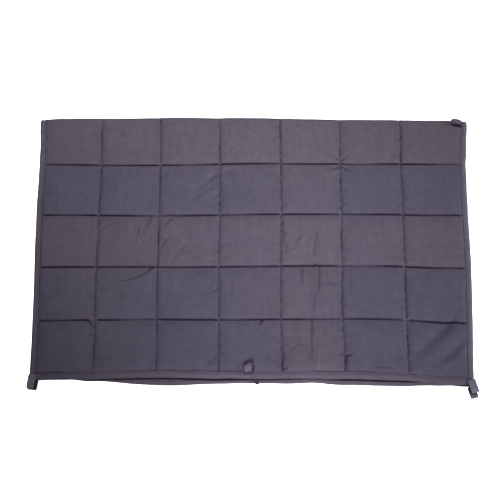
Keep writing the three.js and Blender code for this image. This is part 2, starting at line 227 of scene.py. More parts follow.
# Creases on the upper layer, each a soft trough with a low ridge on one side.
# The deep end comes first, and the trough fades to its last point.
CREASE_DEPTH = 2.1  # how much deeper than in the table all of them are
# painted shade in the bottom of the creases
CREASE_SHADE = 0.75  # how dark the bottom of a deep one is
CREASE_LINE = 0.0024  # the widest that its dark is
CREASE_STEPS = 6  # points on its curve for each one in the table
CREASE_REACH = 5  # how far away it is felt, in its widths
CREASE_TAPER = 4  # how shortly it ends
RIDGE_PLACE = 1.8
RIDGE_WIDE = 1.3
Crease = namedtuple("Crease", "points width depth fade ridge")
CREASES = [
    Crease([(-0.2604, -0.1518), (-0.2558, -0.1590), (-0.2490, -0.1659)], 0.0014, 0.0013, 0.8, 0.5),
    Crease([(-0.2539, -0.1547), (-0.2502, -0.1590), (-0.2476, -0.1642)], 0.0013, -0.0007, 0.8, 0.0),
    Crease([(-0.2478, -0.1814), (-0.2527, -0.1799), (-0.2582, -0.1766)], 0.0016, 0.0008, 0.4, 0.4),
    Crease([(-0.052, -0.093), (-0.065, -0.101), (-0.080, -0.106)], 0.0019, 0.0007, 0.3, -0.6),
    Crease([(0.152, 0.142), (0.160, 0.137), (0.172, 0.134)], 0.0024, 0.0012, 0.2, 0.5),
    Crease([(0.147, 0.142), (0.138, 0.139), (0.128, 0.138)], 0.0024, 0.0010, 0.2, 0.5),
    Crease([(0.152, 0.157), (0.160, 0.163), (0.168, 0.172)], 0.0026, 0.0008, 0.2, 0.5),
    Crease([(0.147, 0.157), (0.136, 0.166), (0.128, 0.176)], 0.0030, 0.0007, 0.2, 0.5),
    Crease([(0.315, -0.165), (0.288, -0.192), (0.258, -0.222)], 0.0090, 0.0009, 0.6, 0.8),
    Crease([(0.338, -0.196), (0.318, -0.216), (0.290, -0.240)], 0.0060, 0.0006, 0.6, 0.8),
    Crease([(0.255, -0.152), (0.260, -0.160), (0.268, -0.164)], 0.0030, 0.0009, 0.3, 0.6),
    Crease([(0.198, -0.240), (0.210, -0.238), (0.237, -0.243)], 0.0020, 0.0008, 0.5, 0.7),
    Crease([(0.019, -0.154), (0.011, -0.162)], 0.0021, 0.0011, 0.2, 0.5),
    Crease([(0.052, 0.034), (0.055, 0.026), (0.060, 0.022)], 0.0022, 0.0006, 0.3, 0.8),
    Crease([(0.051, 0.022), (0.055, 0.012), (0.054, 0.002)], 0.0022, 0.0006, 0.4, 0.9),
    Crease([(0.053, -0.004), (0.058, -0.012), (0.056, -0.026)], 0.0022, 0.0006, 0.3, 0.8),
    Crease([(-0.250, 0.020), (-0.232, 0.030), (-0.212, 0.034)], 0.0034, 0.0007, 0.3, 0.6),
    Crease([(-0.052, -0.210), (-0.060, -0.224), (-0.072, -0.238)], 0.0026, 0.0006, 0.3, 0.6),
    Crease([(-0.048, -0.210), (-0.038, -0.222), (-0.026, -0.230)], 0.0026, 0.0005, 0.3, 0.6),
    Crease(
        [
            (-0.157, -0.053), (-0.164, -0.057), (-0.169, -0.064),
            (-0.183, -0.072), (-0.208, -0.080), (-0.230, -0.083),
        ],
        0.0018, 0.0012, 0.2, 0.5,
    ),
    Crease([(-0.163, 0.045), (-0.168, 0.032), (-0.174, 0.016), (-0.176, 0.005)], 0.0018, 0.0005, 0.3, 0.6),
    Crease([(-0.182, 0.020), (-0.185, 0.005), (-0.188, -0.013)], 0.0018, 0.0005, 0.3, 0.6),
    Crease([(-0.128, 0.043), (-0.137, 0.034), (-0.144, 0.022)], 0.0022, 0.0008, 0.5, -0.6),
    Crease([(-0.145, -0.013), (-0.138, -0.001), (-0.127, 0.009)], 0.0024, 0.0007, 0.4, 0.6),
    Crease([(-0.127, -0.040), (-0.115, -0.021), (-0.103, -0.003)], 0.0040, 0.0006, 0.4, 0.6),
    Crease([(-0.0571, 0.1279), (-0.0736, 0.1121), (-0.0916, 0.0943)], 0.0045, 0.0007, 0.5, 0.7),
    Crease([(-0.0652, 0.1021), (-0.0849, 0.0883), (-0.1062, 0.0746)], 0.0045, 0.0006, 0.5, 0.7),
    Crease([(-0.046, 0.130), (-0.034, 0.136), (-0.021, 0.141)], 0.0035, 0.0006, 0.4, 0.6),
    Crease([(0.084, 0.001), (0.076, -0.018), (0.060, -0.025)], 0.0022, -0.0008, 0.5, 0.0),
    Crease([(0.109, 0.015), (0.104, -0.020), (0.104, -0.038)], 0.0020, 0.0006, 0.5, -0.9),
    Crease(
        [(0.111, -0.052), (0.111, -0.092), (0.106, -0.103), (0.102, -0.123), (0.101, -0.150)],
        0.0020, 0.0008, 0.6, -1.0,
    ),
    Crease([(0.083, -0.055), (0.083, -0.091)], 0.0020, 0.0006, 0.4, 0.6),
    Crease([(0.136, -0.086), (0.123, -0.082)], 0.0030, 0.0006, 0.4, 0.6),
    Crease([(0.064, -0.208), (0.079, -0.197), (0.086, -0.202), (0.097, -0.197)], 0.0018, 0.0006, 0.5, 0.6),
    Crease([(0.099, -0.152), (0.098, -0.185), (0.097, -0.236)], 0.0020, 0.0006, 0.7, 0.8),
    Crease([(0.105, -0.247), (0.108, -0.219), (0.113, -0.194)], 0.0024, -0.0008, 0.4, 0.0),
    Crease([(0.0503, -0.2429), (0.0554, -0.2402), (0.0605, -0.2350)], 0.0018, 0.0017, 0.5, 0.5),
    Crease([(0.1509, -0.2162), (0.1572, -0.2173), (0.1636, -0.2151)], 0.0018, 0.0018, 0.5, -0.4),
    Crease([(0.1485, -0.2158), (0.1398, -0.2166)], 0.0020, 0.0005, 0.3, 0.4),
    Crease(
        [(0.1518, -0.2186), (0.1533, -0.2250), (0.1512, -0.2341), (0.1522, -0.2468)],
        0.0018, 0.0012, 0.9, 0.0,
    ),
    Crease([(0.3350, -0.2310), (0.3000, -0.2370), (0.2620, -0.2400)], 0.0080, -0.0005, 0.5, 0.0),
    Crease(
        [(0.0522, -0.2429), (0.0510, -0.2302), (0.0526, -0.2193), (0.0514, -0.2047)],
        0.0018, 0.0011, 0.5, 0.0,
    ),
]

# Places where the painted shade of a stitch line along X is broken
Break = namedtuple("Break", "x y half")
BREAKS = [
    Break(-0.2520, -0.1525, 0.0085),
    Break(0.2497, -0.1553, 0.0070),
]

# Squares that go to the cloth's lighter, warmer tone, as painted light with a warmer hue, in rows from the
# fold and columns from the left
WarmRow = namedtuple("WarmRow", "row share")
WARM_ROWS = [WarmRow(1, 0.70), WarmRow(3, 0.58), WarmRow(4, 0.13)]
WARM_COLUMN = 4
WARM_COLUMN_SHARE = 0.36
WARM_LEAST = 0.1
WARM_SOFT = 0.024  # over which one tone goes to the next
WARM_PAST = 0.8  # share of a row's warmth at its far stitch line
# Steps of the painted light across the columns
WarmStep = namedtuple("WarmStep", "column share")
WARM_STEPS = [WarmStep(4.9, -0.16), WarmStep(5.9, 0.06)]
WARM_STEP_WIDE = 0.2

# Painted shade along the stitch lines, from 0 to 1, at distances from them
BREAK_SOFT = 0.3  # share of a break over which the dark comes back
ROW_LINE = 0.0022
ROW_EVEN = 0.95
ROW_LEAST = 0.5
ROW_AT_SIDE = 0.60
ROW_SIDE_REACH = 0.020
CROSSING_START = 0.0006
CROSSING_REACH = 0.0020
CROSSING_LEAST = 0.2
BEHIND_ROW = 0.17
BEHIND_ROW_FADE = 0.012
COLUMN_EVEN = 0.38
COLUMN_FRONT = 0.22  # how much darker columns are towards the open ends
DARK_SEAMS = (4, 5)
DARK_SEAM_MORE = 0.12
COLUMN_MOST = 0.85
COLUMN_LINE = 0.0013
COLUMN_LINE_MORE = 0.0010
BESIDE_RIGHT = 0.20
BESIDE_LEFT = 0.26
BESIDE_FADE = 0.0050
BESIDE_CLEAR = 0.01
SIDE_FIRM = 0.35
SIDE_MOST = 0.9
SIDE_FAINT = 0.5
SIDE_LINE = 0.0012
SIDE_CLEAR = 0.03
END_FAINT = 0.6
END_LINE = 0.0015
END_CLEAR = 0.004

# Points within a square on the fine upper face, as distances from its stitch line
NEAR_SEAM = [0.0, 0.0005, 0.0011, 0.0018, 0.0027, 0.0040, 0.0058, 0.0082]
BETWEEN_STEPS = 30
UNDER_SHARES = [0.0, 0.07, 0.5, 0.93]
INNER_SHARES = [0.0, 0.25, 0.75]
BEND_STEPS = 12
RIM_COLUMN = 0.09  # columns past the first and last stitch lines where the rim begins
RIM_STEP = 0.00045
SAME_RUN = 1e-4

# Cloth simulation of the upper layer, ten times as large
SIM_STEPS = 24
SIM_SCALE = 10.0
SIM_FRAMES = 18
SIM_SPARE = 0.010  # how much longer the cloth is cut than its stitch lines
SIM_PRESS = 1.2
SIM_BEND = 0.5
SIM_RISE = 0.0024  # rise over which the beads begin to lie flat
SIM_START = 0.0006  # height of the first dome
SIM_WRINKLE = 1.6  # how strongly its wrinkles show
WRINKLE_AT_ROW = 0.25  # share of them beside a row's stitch line
WRINKLE_ROW_REACH = 0.025
WRINKLE_AT_FOLD = -0.4
WRINKLE_FOLD_REACH = 0.03
SMOOTHINGS = 12
SMOOTH_KEPT = 0.5  # share that a point keeps of its own height in one smoothing
LIP_SHARE = 0.45
FOLD_REACH = 0.012
FOLD_ACROSS = 0.006
FOLD_FULL = 0.4
EDGE_RISE = 0.0007  # how far the cloth rises beside the binding
EDGE_FADE = 0.004

# Routes of the tape, out from the edge of the cloth and up from its middle
HANGING_LOOP = [
    (-0.0080, 0.0041), (0.0000, 0.0040), (0.0070, 0.0030), (0.0124, 0.0008), (0.0149, -0.0018),
    (0.0126, -0.0040), (0.0070, -0.0042), (0.0000, -0.0036), (-0.0060, -0.0031),
]
SHORT_LOOP = [
    (-0.0080, 0.0041), (0.0000, 0.0041), (0.0070, 0.0036), (0.0114, 0.0021), (0.0127, 0.0000),
    (0.0108, -0.0020), (0.0056, -0.0030), (0.0000, -0.0033), (-0.0060, -0.0031),
]
TURNED_BACK_LOOP = [
    (-0.0060, 0.0040), (-0.0110, 0.0043), (-0.0160, 0.0049), (-0.0196, 0.0058), (-0.0214, 0.0075),
    (-0.0196, 0.0092), (-0.0160, 0.0099), (-0.0120, 0.0094), (-0.0090, 0.0079), (-0.0066, 0.0054),
]
SIDE_LOOP = [
    (-0.0070, 0.0044), (-0.0120, 0.0047), (-0.0180, 0.0052), (-0.0228, 0.0064), (-0.0250, 0.0086),
    (-0.0228, 0.0109), (-0.0180, 0.0117), (-0.0125, 0.0109), (-0.0090, 0.0088), (-0.0070, 0.0060),
]
PINCHED_LOOP = [
    (-0.0110, 0.0050), (-0.0060, 0.0047), (0.0014, 0.0030), (0.0023, 0.0022),
    (0.0014, 0.0014), (-0.0060, 0.0031), (-0.0110, 0.0034),
]


def lying_loop(reach):
    """Route of a loop that lies flat on the floor, out to its reach."""
    return [
        (0.0011, 0.0007), (0.0070, -0.0002), (reach - 0.001, -0.0003), (reach, -0.0012),
        (reach - 0.001, -0.0021), (0.0070, -0.0020), (0.0011, -0.0009),
    ]


# A loop is sewn down at its tack and bends at its turn, both shares of its route. At its turn it is wider by
# the flare, its hidden half lies aside by the lean, and pale is how far it goes to its lighter second tone:
# painted light on the front corner loops.
LOOP_FIELDS = "node x layer heading route tack turn flare wide skew lean pale"
Loop = namedtuple("Loop", LOOP_FIELDS, defaults=[1.0, 0.0, 0.0, 0.0])
LOOPS = [
    Loop(
        "loop_front_left_upper", -0.3458, "upper", -99, HANGING_LOOP, 0.10, 0.50, -0.18,
        lean=-0.0042, pale=1.0,
    ),
    Loop("loop_front_left_lower", -0.3420, "lower", -97, lying_loop(0.014), 0.10, 0.50, -0.14, pale=1.0),
    Loop("loop_front_right_upper", 0.3533, "upper", -73, SHORT_LOOP, 0.10, 0.50, 0.04, 1.04, pale=0.9),
    Loop("loop_front_right_lower", 0.3510, "lower", -75, lying_loop(0.020), 0.10, 0.50, -0.10, pale=1.0),
    Loop(
        "loop_front_centre_upper", -0.0032, "upper", -84, TURNED_BACK_LOOP, 0.94, 0.44, 0.26, 1.08,
        skew=-0.26, lean=-0.0046,
    ),
    Loop("loop_front_centre_lower", 0.0098, "lower", -70, PINCHED_LOOP, 0.20, 0.50, -0.14, 0.38),
    Loop("loop_back_right", 0.3620, "fold", -8, SIDE_LOOP, 0.94, 0.44, -0.10, 0.86),
]
BACK_LOOP_RUN = -0.0142
# painted shadow of the upper corner loops on the lower ones
LOOP_COVER = 0.0152  # how far out the upper corner loops darken the lower ones
LOOP_COVER_DARK = 0.9

# Tape of the two kinds of loop: the reach of its flare, and the painted shade of its edges, hidden face, turn
# and end
Tape = namedtuple("Tape", "flare_reach edge_from edge_dark hidden_dark turn_dark end_dark")
HANGING_TAPE = Tape(0.12, 0.84, 0.35, 0.95, 0.10, 0.0)
TURNED_TAPE = Tape(0.22, 0.75, 0.90, 0.92, 0.97, 0.9)
TAPE_STEPS = 73
TAPE_AROUND = 28
TAPE_SIDE_POWER = 0.35
TAPE_FACE_POWER = 0.5
HEM_PLACE = 0.34
HEM_WIDE = 0.0007
HEM_DENT = 0.3
LEAN_REACH = 0.2
EDGE_SOFT = 0.1
HIDDEN_REACH = 0.30
HIDDEN_LEAST = 0.5
TURN_PLACE = 0.02
TURN_WIDE = 0.020
END_WIDE = 0.10
TACK_STEPS = 12
TACK_HALF = 0.46

# Stitches of the sewing thread, each a thread over rings at shares of its half length
STITCH_AIM = 0.0005
STITCH_SLANT = 0.07
STITCH_HALF = 0.40
STITCH_RANGE = (0.9, 1.08)
THREAD_SIDES = 5
Ring = namedtuple("Ring", "place thick lift")
THREAD_RINGS = [Ring(-1.0, 0.55, -1.1), Ring(-0.62, 1.0, 0.15), Ring(0.62, 1.0, 0.15), Ring(1.0, 0.55, -1.1)]
STITCH_SEEDS = {"squares": 61, "bindings": 71, "loops": 81}
COLUMN_POINTS = 300  # points on a line of stitches along Y
ROW_POINTS = 420  # points on a line of stitches along X
FOLD_CLEAR = {"squares": 0.005, "bindings": 0.004}  # from the middle seam to the first stitch
END_START = 0.002  # from the edge of an open end to a side's first stitch
CORNER_CLEAR = 0.001  # from a side's binding to an end's first stitch

# Drifts of the cloth's tone: noise to a metre, its detail and range, and how far the tone swings
Drift = namedtuple("Drift", "scale detail low high swing")
MOTTLE = Drift(95.0, 1.0, 0.3, 0.7, 0.065)
STREAK = Drift(1.0, 3.0, 0.3, 0.7, 0.045)
BROAD_BLUSH = Drift(5.0, 2.0, 0.35, 0.65, 0.2)
SMALL_BLUSH = Drift(50.0, 2.0, 0.35, 0.65, 0.15)
STREAK_SCALE = (230.0, 11.0, 1.0)
SLUB_SCALE = (30.0, 700.0, 1.0)
SLUB_HEIGHT = 1.4

# Other noises: to a metre, and their detail
DRIFT_NOISE = (14.0, 3.0)
FIBRE_NOISE = (900.0, 3.0)
CRUMPLE_NOISE = (120.0, 2.0)
TWIST_NOISE = (3000.0, 1.0)
CLOUD_NOISE = (1.5, 2.0)

# Ranges of noise, and how far the cloth goes to its lighter or darker tone over them
LIGHTER_RANGE = (0.35, 0.75, 0.0, 0.5)
DARKER_RANGE = (0.3, 0.7, 0.25, 0.0)
ROUGH_RANGE = (0.3, 0.7)
ROUGH_LESS = 0.05
ROUGH_MORE = 0.06

# Shares of a tone, small relief and finishes
LIGHTER = 1.22
DARKER = 0.72
# dark share of the cloth's tone for its painted shade
CLOTH_PAINTED_SHADE = (0.22, 0.18, 0.25)
THREAD_DARKER = 0.7
THREAD_LIGHTER = 1.4
# dark share of the thread's tone for its painted shade
THREAD_PAINTED_SHADE = 0.25
FLOOR_DARKER = 0.99
CRUMPLE_BUMP = {"Distance": 0.0006, "Strength": 0.28}
TWIST_BUMP = {"Distance": 0.0001, "Strength": 0.6}
WEAVE_STRENGTH = 0.5
# lighter second tone of the binding: painted light on the sides, and where its random blush drifts
BINDING_LIGHT_AND_BLUSH = 1.5
# lighter second tone of the tape: painted light on the front corner loops, and where its random blush drifts
TAPE_LIGHT_AND_BLUSH = 1.7
CLOTH_ROUGH = 0.56
CLOTH_WEAVE_DEPTH = 0.00008
TAPE_ROUGH = 0.6
TAPE_WEAVE_DEPTH = 0.00012
TAPE_WEAVE_PITCH = 0.0009
SMOOTH_ALL = 180.0  # degrees between faces up to which they are shaded as one
CLOTH_SURFACE = {
    "Specular IOR Level": 0.0,
    "Sheen Weight": 0.03,
    "Sheen Roughness": 0.45,
    "Sheen Tint": (0.75, 0.60, 0.97, 1.0),
}
THREAD_SURFACE = {"Roughness": 0.7, "Specular IOR Level": 0.0}
FLOOR_SURFACE = {
    "Roughness": 0.9,
    "Specular IOR Level": 0.1,
    "Emission Color": (1.0, 1.0, 1.0, 1.0),
    "Emission Strength": 1.0,
}
FLOOR_HALF = 6.0
AIR_GLOW = 0.02

# Soft lights: bearing clockwise from the back and elevation in degrees, power in watts
Lamp = namedtuple("Lamp", "name bearing elevation aim side spread power")
LAMP_REACH = 1.6
LAMPS = [
    Lamp("front_light", 180, 25, (0.05, 0.08), 0.4, 30, 3.55),
    Lamp("right_light", 90, 25, (0.10, 0.12), 0.4, 45, 2.0),
    Lamp("front_right_light", 125, 25, (0.36, -0.14), 0.4, 36, 3.7),
    Lamp("top_light", 0, 89, (-0.32, 0.50), 0.5, 90, 17.0),
    Lamp("back_light", 0, 8, (0.00, 0.26), 0.4, 60, 2.8),
]

# Camera, at the photograph's angle
CAMERA_AIM = Vector((0.0, 0.0, 0.013))
CAMERA_ELEVATION = math.radians(57.93)
CAMERA_TURN = math.radians(0.578)
CAMERA_ROLL = math.radians(0.595)
CAMERA_DISTANCE = 4.1518
CAMERA_FOCUS_PIXELS = 2537.1
CAMERA_AIM_PIXEL = (250.27, 240.285)
SENSOR_WIDE = 36.0


def length(name, description, default):
    """A size that a user may change, in metres."""
    return bpy.props.FloatProperty(
        name=name, description=description, default=default, min=0.0, precision=5, unit="LENGTH"
    )


def colour(name, description, default):
    """A colour that a user may change."""
    return bpy.props.FloatVectorProperty(
        name=name, description=description, default=default, size=3, min=0.0, max=1.0, subtype="COLOR"
    )


class BlanketSizes(bpy.types.PropertyGroup):
    """Sizes of the blanket's cloth, trim and sewing."""

    square: length("Square", "Stitch line to stitch line", 0.100)
    square_thick: length("Square thickness", "A filled square at its crown", 0.008)
    seam_thick: length("Seam thickness", "The cloth along its stitch lines", 0.0021)
    row_lip: length("Row lip", "Width of the steep rise beside stitch lines along X", 0.0017)
    column_lip: length("Column lip", "Width of the softer rise beside stitch lines along Y", 0.0060)
    pucker: length("Pucker", "Height of the small gathers beside the stitch lines", 0.0006)
    slump: length("Slump", "How unevenly the beads lie in the squares", 0.00025)
    binding_wide: length("Binding width", "Visible width of the open ends' binding", 0.0107)
    side_wide: length("Side binding width", "Visible width of the sides' binding", 0.0090)
    binding_thick: length("Binding thickness", "The folded binding with the cloth inside", 0.0052)
    tape_wide: length("Tape width", "Width of the loops' tape", 0.0125)
    tape_thick: length("Tape thickness", "Thickness of the loops' folded tape", 0.0012)
    stitch_pitch: length("Stitch pitch", "One stitch to the next", 0.0034)
    thread_thick: length("Thread thickness", "Thickness of the sewing thread", 0.00055)
    weave_pitch: length("Weave pitch", "One thread of the cloth to the next", 0.0006)


class BlanketColours(bpy.types.PropertyGroup):
    """Colours of the blanket and its floor."""

    cloth: colour("Cloth", "Colour of the quilt's cloth", (0.0258, 0.0235, 0.0340))
    # Lighter, warmer second tone: painted light and a warmer hue on some squares, and where the random blush
    # drifts
    cloth_warm: colour("Warm cloth", "Warmer tone that the cloth drifts to", (0.0349, 0.0295, 0.0368))
    binding: colour("Binding", "Colour of the edge binding", (0.0308, 0.0267, 0.0361))
    tape: colour("Tape", "Colour of the loops' tape", (0.0349, 0.0304, 0.0412))
    thread: colour("Thread", "Colour of the sewing thread", (0.0190, 0.0160, 0.0260))
    floor: colour("Floor", "Colour of the studio floor", (0.93, 0.93, 0.93))


def read_table(table, column, at):
    """One column of a table at places between its rows, eased from row to row."""
    keys = np.array([row[0] for row in table])
    values = np.array([getattr(row, column) for row in table])
    place = np.clip(at, keys[0], keys[-1])
    after = np.clip(np.searchsorted(keys, place), 1, len(keys) - 1)
    share = (place - keys[after - 1]) / (keys[after] - keys[after - 1])
    eased = share * share * (3 - 2 * share)
    return values[after - 1] + (values[after] - values[after - 1]) * eased


def unevenness(a, b, waver):
    """Smooth seeded unevenness over two distances along the cloth, mostly within the waver's size."""
    draw = np.random.default_rng(waver.seed)
    total = np.zeros(np.broadcast(a, b).shape)
    for _ in range(SWELLS):
        turn, phase = draw.uniform(0, 2 * np.pi, 2)
        pace = 2 * np.pi / (waver.wave * draw.uniform(*SWELL_RANGE))
        total += np.sin(pace * (a * np.cos(turn) + b * np.sin(turn)) + phase)
    return waver.size * (total * math.sqrt(2 / SWELLS) / 2)


class FoldedCloth:
    """The middle of the folded cloth and the places of its stitch lines."""

    def __init__(self, sizes):
        self.sizes = sizes
        self.thin = sizes.seam_thick / 2
        self.lower_z = sizes.square_thick / 2
        self.upper_z = self.lower_z + sizes.square_thick + LAYER_GAP
        self.fold_radius = (self.upper_z - self.lower_z) / 2
        self.quarter_turn = math.pi / 2 * self.fold_radius
        self.seam_runs = np.array(
            [0, SHORT_ROW]
            + [SHORT_ROW + sizes.square * (row + 1) for row in range(WHOLE_ROWS)]
            + [2 * SHORT_ROW + sizes.square * WHOLE_ROWS]
        )
        self.half_length = self.seam_runs[-1] + STITCH_INSET
        self.upper_bend = self.quarter_turn + FOLD_OFFSET
        self.lower_bend = self.quarter_turn - FOLD_OFFSET
        self.fold_y = 1.5 * sizes.square + SHORT_ROW - self.upper_bend

    def level_y(self, run):
        """Place along Y of a run, before the open ends wander."""
        return self.fold_y - np.maximum(0, np.abs(run + FOLD_OFFSET) - self.quarter_turn)

    def side_x(self, side, run):
        """X of one side's edge at a run."""
        return read_table(SIDES, side, self.level_y(run))

    def at(self, x, run):
        """Points on the middle of the cloth, and the directions out of its outer face."""
        x, run = np.broadcast_arrays(np.asarray(x, float), np.asarray(run, float))
        angle = np.clip((run + FOLD_OFFSET) / self.fold_radius, -np.pi / 2, np.pi / 2)
        to_side = np.minimum(x - self.side_x("left", run), self.side_x("right", run) - x)
        to_end = self.half_length - np.abs(run)
        sink = (1 - np.clip(np.minimum(to_side, to_end) / DROOP_REACH, 0, 1)) ** 2
        end_sink = (1 - np.clip(to_end / DROOP_REACH, 0, 1)) ** 2
        upper_z = self.upper_z - UPPER_DROOP * sink - END_DROOP * end_sink
        lower_z = self.lower_z - LOWER_DROOP * sink
        radius = (upper_z - lower_z) / 2
        end_share = (np.abs(run) / self.half_length) ** END_POWER
        fold_share = 1 - np.clip(np.abs(run) / SHORT_ROW, 0, 1)
        end = np.where(run < 0, read_table(ENDS, "upper", x), read_table(ENDS, "lower", x))
        middle_share = np.clip(np.minimum(np.abs(run), to_end) / MIDDLE_REACH, 0, 1)
        wander = end * end_share + read_table(ENDS, "fold", x) * fold_share
        wander = wander + read_table(ENDS, "middle", x) * middle_share
        level = self.level_y(run)
        sway_x = SWAY * np.sin(level / SWAY_WAVE["along"] + x / SWAY_WAVE["across"])
        sway_y = SWAY * np.sin(x / SWAY_WAVE["along"] + level / SWAY_WAVE["across"])
        point = np.stack(
            [
                x + sway_x,
                level + radius * np.cos(angle) + wander + sway_y,
                (upper_z + lower_z) / 2 - radius * np.sin(angle),
            ],
            axis=-1,
        )
        outward = np.stack([np.zeros_like(angle), np.cos(angle), -np.sin(angle)], axis=-1)
        return point, outward

    def column_x(self, column, run):
        """X of places counted in columns; below 0 and above COLUMNS they cross the thin rim."""
        column, run = np.broadcast_arrays(np.asarray(column, float), np.asarray(run, float))
        rim = SIDE_INSET - RIM_INSET
        first = self.side_x("left", run) + SIDE_INSET
        last = self.side_x("right", run) - SIDE_INSET
        seams = [first]
        for seam in range(1, COLUMNS):
            wobble = unevenness(run, SEAM_SWING.apart * seam, SEAM_SWING)
            wobble = wobble + unevenness(run, SEAM_WOBBLE.apart * seam, SEAM_WOBBLE)
            drift = read_table(SEAMS, SeamRow._fields[seam], self.level_y(run))
            seams.append((seam - COLUMNS / 2) * self.sizes.square + drift + wobble)
        seams = np.stack([*seams, last])
        whole = np.clip(np.floor(column), 0, COLUMNS - 1).astype(int)
        here = np.take_along_axis(seams, whole[None], 0)[0]
        beside = np.take_along_axis(seams, whole[None] + 1, 0)[0]
        x = here + (beside - here) * np.clip(column - whole, 0, 1)
        return x + rim * (np.minimum(column, 0) + np.maximum(column - COLUMNS, 0))

    def within_square(self, column, run):
        """Whether places lie in a square, how far they are from its stitch lines, and its column and row."""
        distance = np.abs(run)
        row = np.searchsorted(self.seam_runs, distance, side="right")
        inside = (column >= 0) & (column <= COLUMNS) & (row < len(self.seam_runs))
        row = np.clip(row, 1, len(self.seam_runs) - 1)
        across = np.abs(column - np.round(column)) * self.sizes.square
        along = np.minimum(distance - self.seam_runs[row - 1], self.seam_runs[row] - distance)
        return inside, across, np.maximum(along, 0), np.floor(column), row


def rise(reach):
    """Share of the filling at a distance from a stitch line."""
    return 1 - (1 - np.clip(reach / PUFF_REACH, 0, 1)) ** PUFF_POWER


def soft_round(share):
    """Rises evenly from 0 and levels out at 1."""
    share = np.clip(share, 0, 1)
    return share * (2 - share)


def quarter_round(share):
    """Rises steeply from 0 and levels out at 1, as the edge of a cushion does."""
    return np.sqrt(1 - (1 - np.clip(share, 0, 1)) ** 2)


def smooth_path(points, steps):
    """Points along a smooth curve through the given ones, evenly spaced in its own parameter."""
    return curve_at(points, np.linspace(0, len(points) - 1, steps))


def curve_at(points, place):
    """Points on a smooth curve through the given ones, at places counted in them."""
    points = np.array(points, float)
    first = np.minimum(np.asarray(place).astype(int), len(points) - 2)
    t = (place - first)[:, None]
    before, here = points[np.maximum(first - 1, 0)], points[first]
    there, after = points[first + 1], points[np.minimum(first + 2, len(points) - 1)]
    leave, arrive = (there - before) / 2, (after - here) / 2
    return (
        (2 * here - 2 * there + leave + arrive) * t**3
        + (3 * there - 3 * here - 2 * leave - arrive) * t**2
        + leave * t
        + here
    )


def crease_relief(x, y):
    """Height that the creases add at places on the upper layer, and the painted shade in them there."""
    relief, shade = np.zeros_like(x), np.zeros_like(x)
    for crease in CREASES:
        path = smooth_path(crease.points, CREASE_STEPS * len(crease.points))
        reach = CREASE_REACH * crease.width
        low, high = path.min(0) - reach, path.max(0) + reach
        near = (x > low[0]) & (x < high[0]) & (y > low[1]) & (y < high[1])
        place = np.stack([x[near], y[near]], axis=-1)
        away = np.full(len(place), np.inf)
        side, share = np.zeros(len(place)), np.zeros(len(place))
        legs = len(path) - 1
        for leg in range(legs):
            start, step = path[leg], path[leg + 1] - path[leg]
            offset = place - start
            t = np.clip(offset @ step / (step @ step), 0, 1)
            gap = offset - t[:, None] * step
            distance = np.hypot(gap[:, 0], gap[:, 1])
            closer = distance < away
            away = np.where(closer, distance, away)
            turn = np.sign(step[0] * offset[:, 1] - step[1] * offset[:, 0])
            side = np.where(closer, turn, side)
            share = np.where(closer, (leg + t) / legs, share)
        depth = CREASE_DEPTH * crease.depth * (1 - (1 - crease.fade) * share)
        depth = depth * np.clip(CREASE_TAPER * (1 - share), 0, 1)
        trough = np.exp(-((away / crease.width) ** 2))
        aside = away * side * np.sign(crease.ridge) - RIDGE_PLACE * crease.width
        ridge = abs(crease.ridge) * np.exp(-((aside / (RIDGE_WIDE * crease.width)) ** 2))
        relief[near] += depth * (ridge - trough)
        narrow = np.exp(-((away / min(crease.width, CREASE_LINE)) ** 2))
        steep = np.clip(depth / crease.width, 0, 1) * min(1, CREASE_LINE / crease.width)
        shade[near] = np.maximum(shade[near], CREASE_SHADE * steep * narrow)
    return relief, shade


def crown_half_thickness(cloth, column, run, filling):
    """Half thickness under the outer face, where filling is how full the squares lie, from 0 to 1."""
    sizes = cloth.sizes
    column, run = np.broadcast_arrays(column, run)
    inside, across, along, square_column, row = cloth.within_square(column, run)
    at_fold = 1 - np.clip(np.abs(run) / FOLD_REACH, 0, 1)
    across = across + FOLD_ACROSS * at_fold
    filling = filling + (1 - filling) * FOLD_FULL * at_fold
    lip = soft_round(across / sizes.column_lip) * quarter_round(along / sizes.row_lip)
    swing = FULLNESS_SWING * np.sin(FULLNESS_PHASE["column"] * square_column + FULLNESS_PHASE["row"] * row)
    full = sizes.square_thick / 2 * (1 + swing) - cloth.thin
    x, y = cloth.column_x(column, run), cloth.level_y(run)
    apart = SQUARE_APART["column"] * square_column + SQUARE_APART["row"] * row
    gathers = np.exp(-across / GATHER_FADE) * unevenness(run + apart, GATHER_STRETCH * across, COLUMN_GATHERS)
    gathers += np.exp(-along / GATHER_FADE) * unevenness(x + apart, GATHER_STRETCH * along, ROW_GATHERS)
    slump = unevenness(x + apart, y, SQUARE_SLUMP) + unevenness(x, y, BROAD_SLUMP)
    soft = sizes.pucker * gathers + sizes.slump * slump * rise(across) * rise(along)
    point, _ = cloth.at(x, run)
    soft = soft + np.where(run < 0, crease_relief(point[..., 0], point[..., 1])[0], 0)
    share = filling + (1 - filling) * LIP_SHARE * lip
    to_side = np.minimum(column, COLUMNS - column) * sizes.square
    to_edge = np.minimum(to_side, cloth.seam_runs[-1] - np.abs(run))
    beside = EDGE_RISE * np.exp(-np.maximum(to_edge, 0) / EDGE_FADE) * (1 - share)
    return np.where(inside, cloth.thin + full * share + soft * lip + beside, cloth.thin)


def panel_rows(cloth):
    """Runs of the simulation's points on the upper layer, from its open end to the fold."""
    outer, inner = cloth.seam_runs[:0:-1], cloth.seam_runs[-2::-1]
    share = np.arange(SIM_STEPS) / SIM_STEPS
    runs = outer[:, None] + (inner - outer)[:, None] * share
    return -np.append(runs.ravel(), 0.0)


